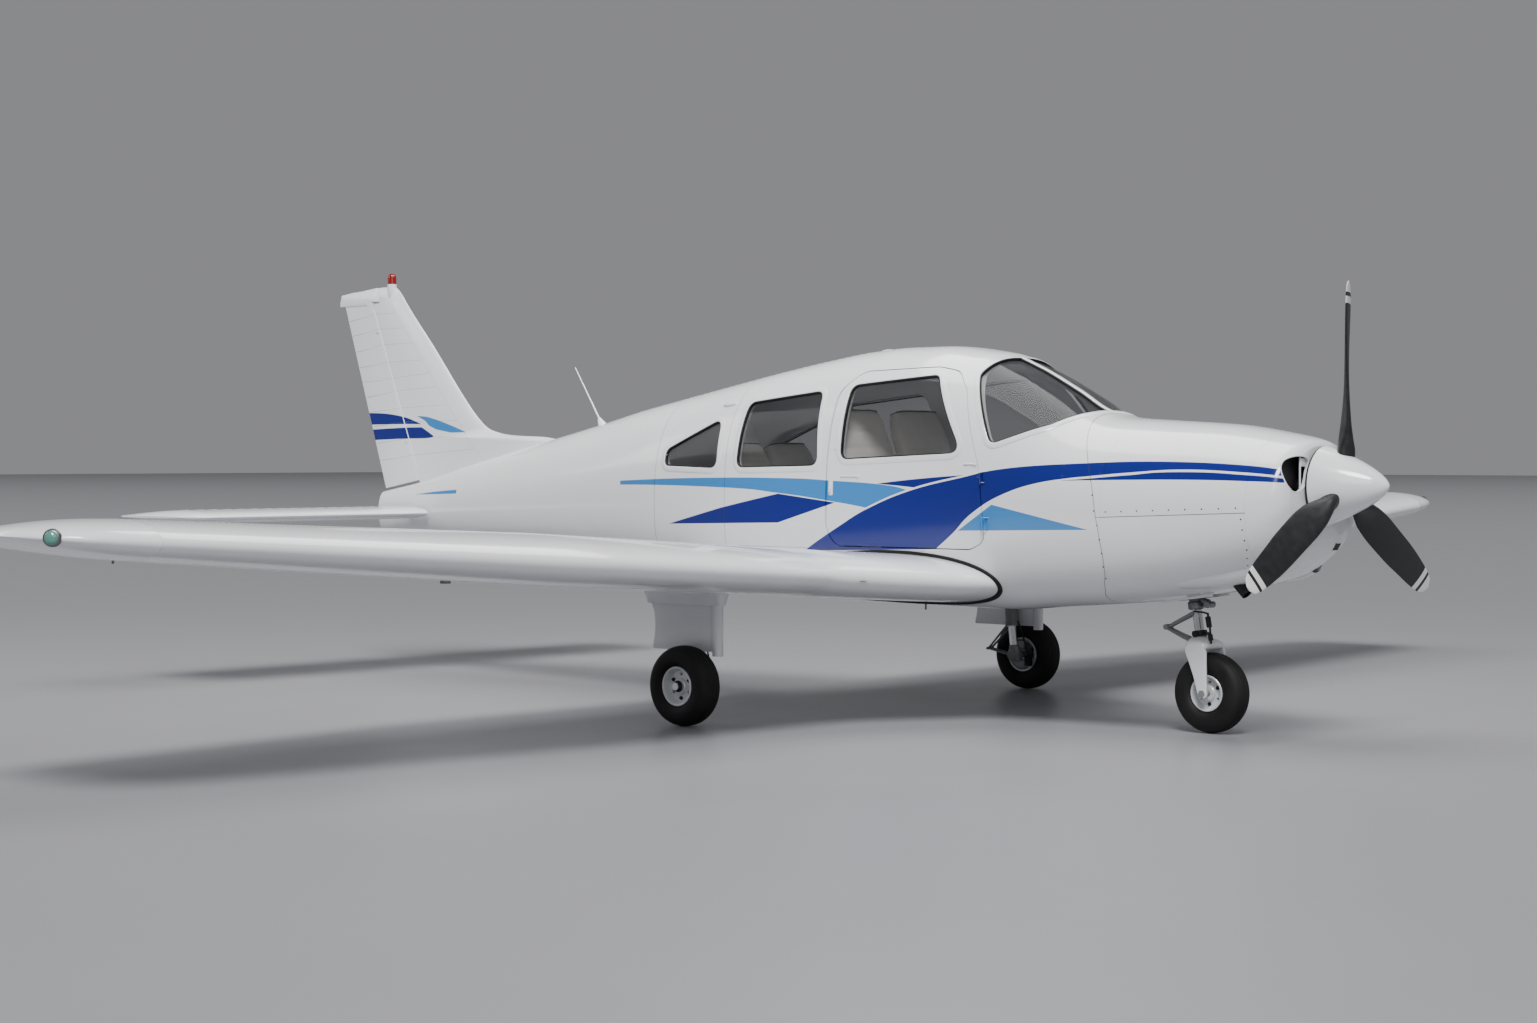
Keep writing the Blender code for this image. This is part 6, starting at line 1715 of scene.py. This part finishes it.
def buildPanel():
    (front, rear), (low, high) = panel["s"], panel["z"]
    board = Shape().box(at(rear, -panel["half"], low), at(front, panel["half"], high))
    board.box(at(1.90, -0.085, 0.7203), at(1.80, 0.085, 1.12))
    shield = Shape().skin([[at(s, y, z - 0.012 * (y / 0.40) ** 2) for s, z in panel["shield"]]
                           for y in steps(-0.40, 0.40, 0.04)])
    rims, faces, radios = Shape(), Shape(), Shape()
    dials = [at(rear, side * y, z) for side in (-1, 1) for z in panel["dialZ"] for y in panel["dialY"]]
    for centre in dials:
        rims.spin(centre, -xAxis, panel["dialRim"], 32)
        faces.rod(centre, centre - xAxis * 0.0012, 0.0312, sides=32)
        faces.box(centre + Vector((-0.0024, -0.001, 0)), centre + Vector((-0.001, 0.001, 0.024)), 1)
    for k in range(4):
        z = 1.155 + k * 0.050
        radios.box(at(1.868, -0.085, z), at(1.858, 0.085, z + 0.042))
        radios.box(at(1.8695, -0.055, z + 0.012), at(1.866, 0.055, z + 0.032), 1)
        for y in (-0.073, 0.073):
            radios.rod(at(1.866, y, z + 0.021), at(1.880, y, z + 0.021), 0.008, sides=16)
    yokes = Shape()
    z = panel["yokeZ"]
    for side in bothSides:
        y = side * 0.255
        yokes.rod(at(1.84, y, z), at(2.00, y, z), 0.012, sides=20)
        yokes.tube([at(1.99, y + a, z + b) for a, b in mirrored(panel["yoke"], [(0, -0.004)])], 0.0115, 14)
        yokes.box(at(2.000, y - 0.030, z - 0.020), at(1.978, y + 0.030, z + 0.020))
    for name, shape, finishes, sharp, bevel in (
            ("instrumentBoard", board, [panelGrey], 32, 0.004), ("glareShield", shield, [trimBlack], 50, 0),
            ("instrumentRims", rims, [trimBlack], 32, 0), ("instrumentFaces", faces, [lining, white], 32, 0),
            ("radioStack", radios, [trimBlack, lining], 32, 0), ("controlYokes", yokes, [trimBlack], 32, 0)):
        piece(name, shape, finishes, "airframe", ["instrument_panel"], sharp, bevel)


# Rivets, screws and stiffening beads

rivets = {
    "foot": 0.0038, "height": 0.0012, "pitch": 0.045,
    # rows on both sides of the fuselage as stations and heights, with their pitch
    "body": [([(2.305, 0.881), (3.221, 0.865), (4.27, 0.860)], 0.045),
             ([(3.02, 1.235), (4.27, 1.205)], 0.045), ([(3.03, 1.270), (3.03, 1.69)], 0.045),
             ([(3.707, 1.26), (3.707, 1.72)], 0.045), ([(4.20, 0.72), (4.20, 1.60)], 0.045),
             ([(1.30, 1.40), (1.46, 1.46), (1.52, 1.50)], 0.03), ([(1.40, 0.80), (1.90, 0.78)], 0.045),
             ([(1.50, 0.90), (1.50, 1.30)], 0.045)],
    # darker quarter-turn fasteners along the cowling's edges
    "cowl": [([(1.335, 1.24), (1.318, 1.17), (1.305, 1.09)], 0.075),
             ([(1.286, 1.02), (1.268, 0.90), (1.285, 0.76)], 0.070), ([(0.56, 1.112), (1.24, 1.086)], 0.085),
             ([(0.535, 1.06), (0.528, 0.92), (0.56, 0.84)], 0.055)],
}


def repeatTree():
    tree = bpy.data.node_groups.new("smallPartOnEachPoint", "GeometryNodeTree")
    for label, kind in (("Geometry", "NodeSocketGeometry"), ("Foot", "NodeSocketFloat"),
                        ("Top", "NodeSocketFloat"), ("Height", "NodeSocketFloat"), ("Sides", "NodeSocketInt"),
                        ("Finish", "NodeSocketMaterial")):
        tree.interface.new_socket(label, in_out="INPUT", socket_type=kind)
    tree.interface.new_socket("Geometry", in_out="OUTPUT", socket_type="NodeSocketGeometry")

    def node(kind, **settings):
        made = tree.nodes.new(kind)
        for key, value in settings.items():
            setattr(made, key, value)
        return made
    given, head = node("NodeGroupInput"), node("GeometryNodeMeshCone", fill_type="NGON")
    outward = node("GeometryNodeInputNamedAttribute", data_type="FLOAT_VECTOR")
    outward.inputs["Name"].default_value = "outward"
    align, spread = node("FunctionNodeAlignRotationToVector", axis="Z"), node("GeometryNodeInstanceOnPoints")
    real, paint = node("GeometryNodeRealizeInstances"), node("GeometryNodeSetMaterial")
    out = node("NodeGroupOutput")
    for a, b in ((given.outputs["Foot"], head.inputs["Radius Bottom"]),
                 (given.outputs["Top"], head.inputs["Radius Top"]),
                 (given.outputs["Height"], head.inputs["Depth"]),
                 (given.outputs["Sides"], head.inputs["Vertices"]),
                 (outward.outputs[0], align.inputs["Vector"]),
                 (given.outputs["Geometry"], spread.inputs["Points"]),
                 (head.outputs["Mesh"], spread.inputs["Instance"]),
                 (align.outputs[0], spread.inputs["Rotation"]), (spread.outputs[0], real.inputs[0]),
                 (real.outputs[0], paint.inputs["Geometry"]),
                 (given.outputs["Finish"], paint.inputs["Material"]), (paint.outputs[0], out.inputs[0])):
        tree.links.new(a, b)
    return tree


def repeats(name, runs, finish, foot=rivets["foot"], height=rivets["height"], sides=8):
    # one small head on each point of the runs, standing on the surface
    data = bpy.data.meshes.new(name)
    points = [p - n * 0.0003 for ps, ns in runs for p, n in zip(ps, ns)]
    data.from_pydata(points, [], [])
    outward = data.attributes.new("outward", "FLOAT_VECTOR", "POINT")
    outward.data.foreach_set("vector", [c for ps, ns in runs for n in ns for c in n])
    obj = bpy.data.objects.new(name, data)
    bpy.context.scene.collection.objects.link(obj)
    step = obj.modifiers.new("heads", "NODES")
    step.node_group = headTree
    values = {"Foot": foot, "Top": foot * 0.55, "Height": height, "Sides": sides, "Finish": finish}
    for item in headTree.interface.items_tree:
        if item.in_out == "INPUT" and item.name in values:
            step[item.identifier] = values[item.name]
    settle(obj)
    finishPiece(obj, "airframe", (), 60)
    print(name, len(points), "heads")


def spread(points, pitch):
    # points at an even spacing along a polyline
    lengths = [0.0]
    for a, b in zip(points, points[1:]):
        lengths.append(lengths[-1] + (b - a).length)
    total = lengths[-1]
    count, made, k = max(1, round(total / pitch)), [], 0
    for i in range(count + 1):
        goal = total * i / count
        while k < len(points) - 2 and lengths[k + 1] < goal:
            k += 1
        width = lengths[k + 1] - lengths[k]
        made.append(points[k].lerp(points[k + 1], min(max((goal - lengths[k]) / max(width, 1e-9), 0), 1)))
    return made


def skinLine(marks, side, pitch=rivets["pitch"]):
    path = [at(s, side * skinHalf(s, z), z) for s, z in marks]
    return snapRun(spread(path, pitch))


def unzipped(runs):
    # rows of (point, normal) as rows of points and rows of normals
    return [([p for p, _ in run], [n for _, n in run]) for run in runs]


def hoopLine(s, first, last):
    return snapRun(spread(section(s, 0.0, radians(first), radians(last), 60), rivets["pitch"]))


def wingSpot(u, y, side, above):
    p = wingPoint(u, y, side, above)
    du = wingPoint(min(u + 0.004, 1), y, side, above) - wingPoint(max(u - 0.004, 0), y, side, above)
    dy = wingPoint(u, y + 0.01, side, above) - wingPoint(u, y - 0.01, side, above)
    n = du.cross(dy).normalized()
    return p, n if n.z * (1 if above else -1) > 0 else -n


def wingRows(side):
    runs = []
    for above in (True, False):
        for u in (0.045, 0.235, 0.262, 0.60, 0.635):
            runs.append([wingSpot(u, y, side, above) for y in steps(0.80, 5.0, 0.055)])
        for y in (0.86, 1.30, 1.72, 2.14, 2.56, 2.885, 3.30, 3.72, 4.14, 4.56, 4.98):
            us = [0.035 + 0.72 * i / 22 for i in range(23)]
            runs.append([wingSpot(u, y, side, above) for u in us])
        runs.append([wingSpot(0.04 + 0.90 * i / 22, 5.04, side, above) for i in range(23)])
        runs.append([wingSpot(0.06 + 0.86 * i / 20, 5.062, side, above) for i in range(21)])
    return unzipped(runs)


def bodyRows():
    runs = [skinLine([(1.31, 1.30), (1.9, 1.33)], 1), skinLine([(1.31, 1.345), (1.86, 1.345)], -1)]
    for side in bothSides:
        for s, a, b in ((1.292, 12, 86), (4.283, -80, 86)):
            runs.append(hoopLine(s, a, b) if side > 0 else hoopLine(s, 180 - b, 180 - a))
        runs += [skinLine(marks, side, pitch) for marks, pitch in rivets["body"]]
        for spot, corners in windows.items():
            centre = middleOf(corners)
            if side > 0 or spot != "front":
                loop = [centre + (p - centre) * (1 + 0.044 / (p - centre).length) for p in
                        rounded(corners, cabin["corner"])]
                runs.append(skinLine([tuple(p) for p in loop + loop[:1]], side, 0.05))
    for y in (-0.16, 0.16):
        path = [at(s, y, topLine(s)) for s in steps(2.25, 4.25, 0.05)]
        runs.append(snapRun(spread(path, 0.05)))
    return runs


def tailRows():
    runs = []
    for s in (4.318, 4.72, 4.74, 5.18, 5.64, 6.10, 6.50, 6.90, 7.12):
        runs.append(hoopLine(s, -86, 82))
        runs.append(hoopLine(s, 98, 266))
    for side in bothSides:
        for angle in (58, 8, -34):
            path = []
            for s in steps(4.33, 7.0, 0.06):
                p = section(s, 0.0, radians(angle), radians(angle + 1), 1)[0]
                path.append(Vector((p.x, side * p.y, p.z)))
            runs.append(snapRun(spread(path, 0.05)))
    return runs


def cowlScrews():
    return [skinLine(marks, side, pitch) for side in bothSides for marks, pitch in rivets["cowl"]]


def finRows(side):
    def finY(z, s, last):
        return finSide(z, s, last, (rudderHalf(z) + fin["gap"]) * 0.83 + fin["lip"])

    def spot(z, s):
        last = finEdge(z)
        s = min(s, last - 0.004)
        slope = (finY(z, s + 0.003, last) - finY(z, s - 0.003, last)) / 0.006
        return at(s, side * finY(z, s, last), z), Vector((slope, side, 0)).normalized()
    lap = smoothCurve(finLap)
    runs = [[spot(z, lap(z)) for z in steps(1.56, 2.28, 0.040)],
            [spot(z, finHinge(z) - 0.050) for z in steps(1.34, 2.28, 0.045)]]
    for rib in finRibs[1:]:
        first, last = lap(rib[2]) + 0.03, finHinge(rib[1]) - 0.06
        runs.append([spot(rib[1] + ribFall(rib)[0] * (finHinge(rib[1]) - s), s)
                     for s in steps(first, last, 0.045)])
    return unzipped(runs)


def bead(shape, ends, radius, sides):
    shape.tube([ends[0].lerp(ends[1], t) for t in (0, 0.03, 0.5, 0.97, 1)],
               [0.001, radius, radius, radius - 0.0002, 0.001], sides)


def buildBeads():
    # shallow raised ribs pressed in the skins of the control surfaces
    shape = Shape()
    for side in bothSides:
        for rib in finRibs:
            hinge, trail, half = finHinge(rib[1]), rudderTrail(rib[1]), rudderHalf(rib[1])
            ends = []
            for share in (0.16, 0.90):
                reach = (trail - hinge) * share
                ends.append(at(hinge + reach, side * (half + (0.003 - half) * share - 0.0026),
                               rib[1] - ribFall(rib)[1] * reach))
            bead(shape, ends, 0.0038, 10)
    piece("rudderBeads", shape, [finWhite], "rudder_body")
    for side, label in wingLabels.items():
        for name, body, _, (inner, outer) in surfaces(label):
            shape = Shape()
            for y in steps(inner + 0.09, outer - 0.09, 0.115):
                (s, z, half), (trail, zTrail) = hingeAt(y), trailAt(y)
                for above in (1, -1):
                    ends = [at(s + (trail - s) * t, side * y,
                               z + (zTrail - z) * t + above * (half * (1 - t) + 0.002 * t - 0.0024))
                            for t in (0.14, 0.90)]
                    bead(shape, ends, 0.0040, 8)
            piece(label + name + "Beads", shape, [white], body)
    shape, chord = Shape(), stab["trail"] - stab["lead"]
    for side in bothSides:
        for y in steps(0.24, 1.74, 0.10):
            for above in (1, -1):
                path = []
                for u in steps(0.34, 0.80, 0.05):
                    half = foilHalf(u, stab["depth"], chord, stab["blunt"])
                    path.append(at(stab["lead"] + chord * u, side * y, stab["z"] + above * (half - 0.0027)))
                shape.tube(path, [0.001] + [0.0040] * (len(path) - 2) + [0.001], 8)
    piece("stabilatorBeads", shape, [white], "tailplane")


def buildRepeats():
    for side, label in wingLabels.items():
        repeats(label + "WingRivets", wingRows(side), white, 0.0032, 0.0008)
    repeats("bodyRivets", bodyRows(), striped)
    repeats("tailConeRivets", tailRows(), striped)
    repeats("finRivets", finRows(1) + finRows(-1), finWhite)
    repeats("cowlScrews", cowlScrews(), darkMetal, 0.0048, 0.0012, 10)
    buildBeads()


# Stage, light and camera

stage = {
    "sky": (0.26, 0.26, 0.272, 1),
    # kind, name, place, size in metres or degrees, strength
    "lamps": [("SUN", "keyLamp", (4.5, -5.0, 9.0), 20, 3.5),
              ("AREA", "overheadLamp", (0.5, 0.5, 6.5), 5.0, 380),
              ("AREA", "sideLamp", (9.0, -9.0, 6.0), 5.0, 220),
              ("AREA", "tailLamp", (-8.0, -5.0, 5.5), 4.0, 120)],
    # place, degrees of pitch and heading, lens and sensor in millimetres
    "camera": ((9.931, -11.304, 1.358), (90 - 1.19, 0, 131.5 - 90), 63.14, 36),
}


def buildStage():
    shader = Shader("studioFloorFinish", rgb(146, 146, 150), 0.40, Specular_IOR_Level=0.16)
    shader.set(Roughness=shader.noise(1.4, 4.0) * 0.14 + 0.28)
    floor = loose("studioFloor", Shape().box((-160, -160, -0.06), (160, 160, -0.001)), [shader.material])
    for kind, name, place, size, power in stage["lamps"]:
        data = bpy.data.lights.new(name, kind)
        data.energy = power
        if kind == "SUN":
            data.angle = radians(size)
        else:
            data.size = size
        lamp = bpy.data.objects.new(name, data)
        lamp.location = place
        lamp.rotation_euler = (Vector((0.5, 0, 0.9)) - Vector(place)).to_track_quat("-Z", "Y").to_euler()
        bpy.context.scene.collection.objects.link(lamp)
    world = bpy.data.worlds.new("studio")
    world.use_nodes = True
    world.node_tree.nodes["Background"].inputs["Color"].default_value = stage["sky"]
    bpy.context.scene.world = world


def placeCamera():
    data = bpy.data.cameras.new("photoCamera")
    place, turns, data.lens, data.sensor_width = stage["camera"]
    camera = bpy.data.objects.new("photoCamera", data)
    camera.location = place
    camera.rotation_euler = [radians(turn) for turn in turns]
    bpy.context.scene.collection.objects.link(camera)
    bpy.context.scene.camera = camera


panes = buildFuselage()
buildDoor(panes)
windowFrames()
windshieldFrame()
print("cabin ready")
buildNose()
buildTailcone()
buildWings()
rootSeal()
buildFin()
buildStabilator()
buildPropeller()
buildGearWheels()
for side, label in wingLabels.items():
    buildMainLeg(side, label)
buildNoseGear()
print("undercarriage ready")
buildCowlDetails()
buildSmallParts()
buildSeats()
buildPanel()
print("details and cabin inside ready")
headTree = repeatTree()
buildRepeats()
buildStage()
placeCamera()
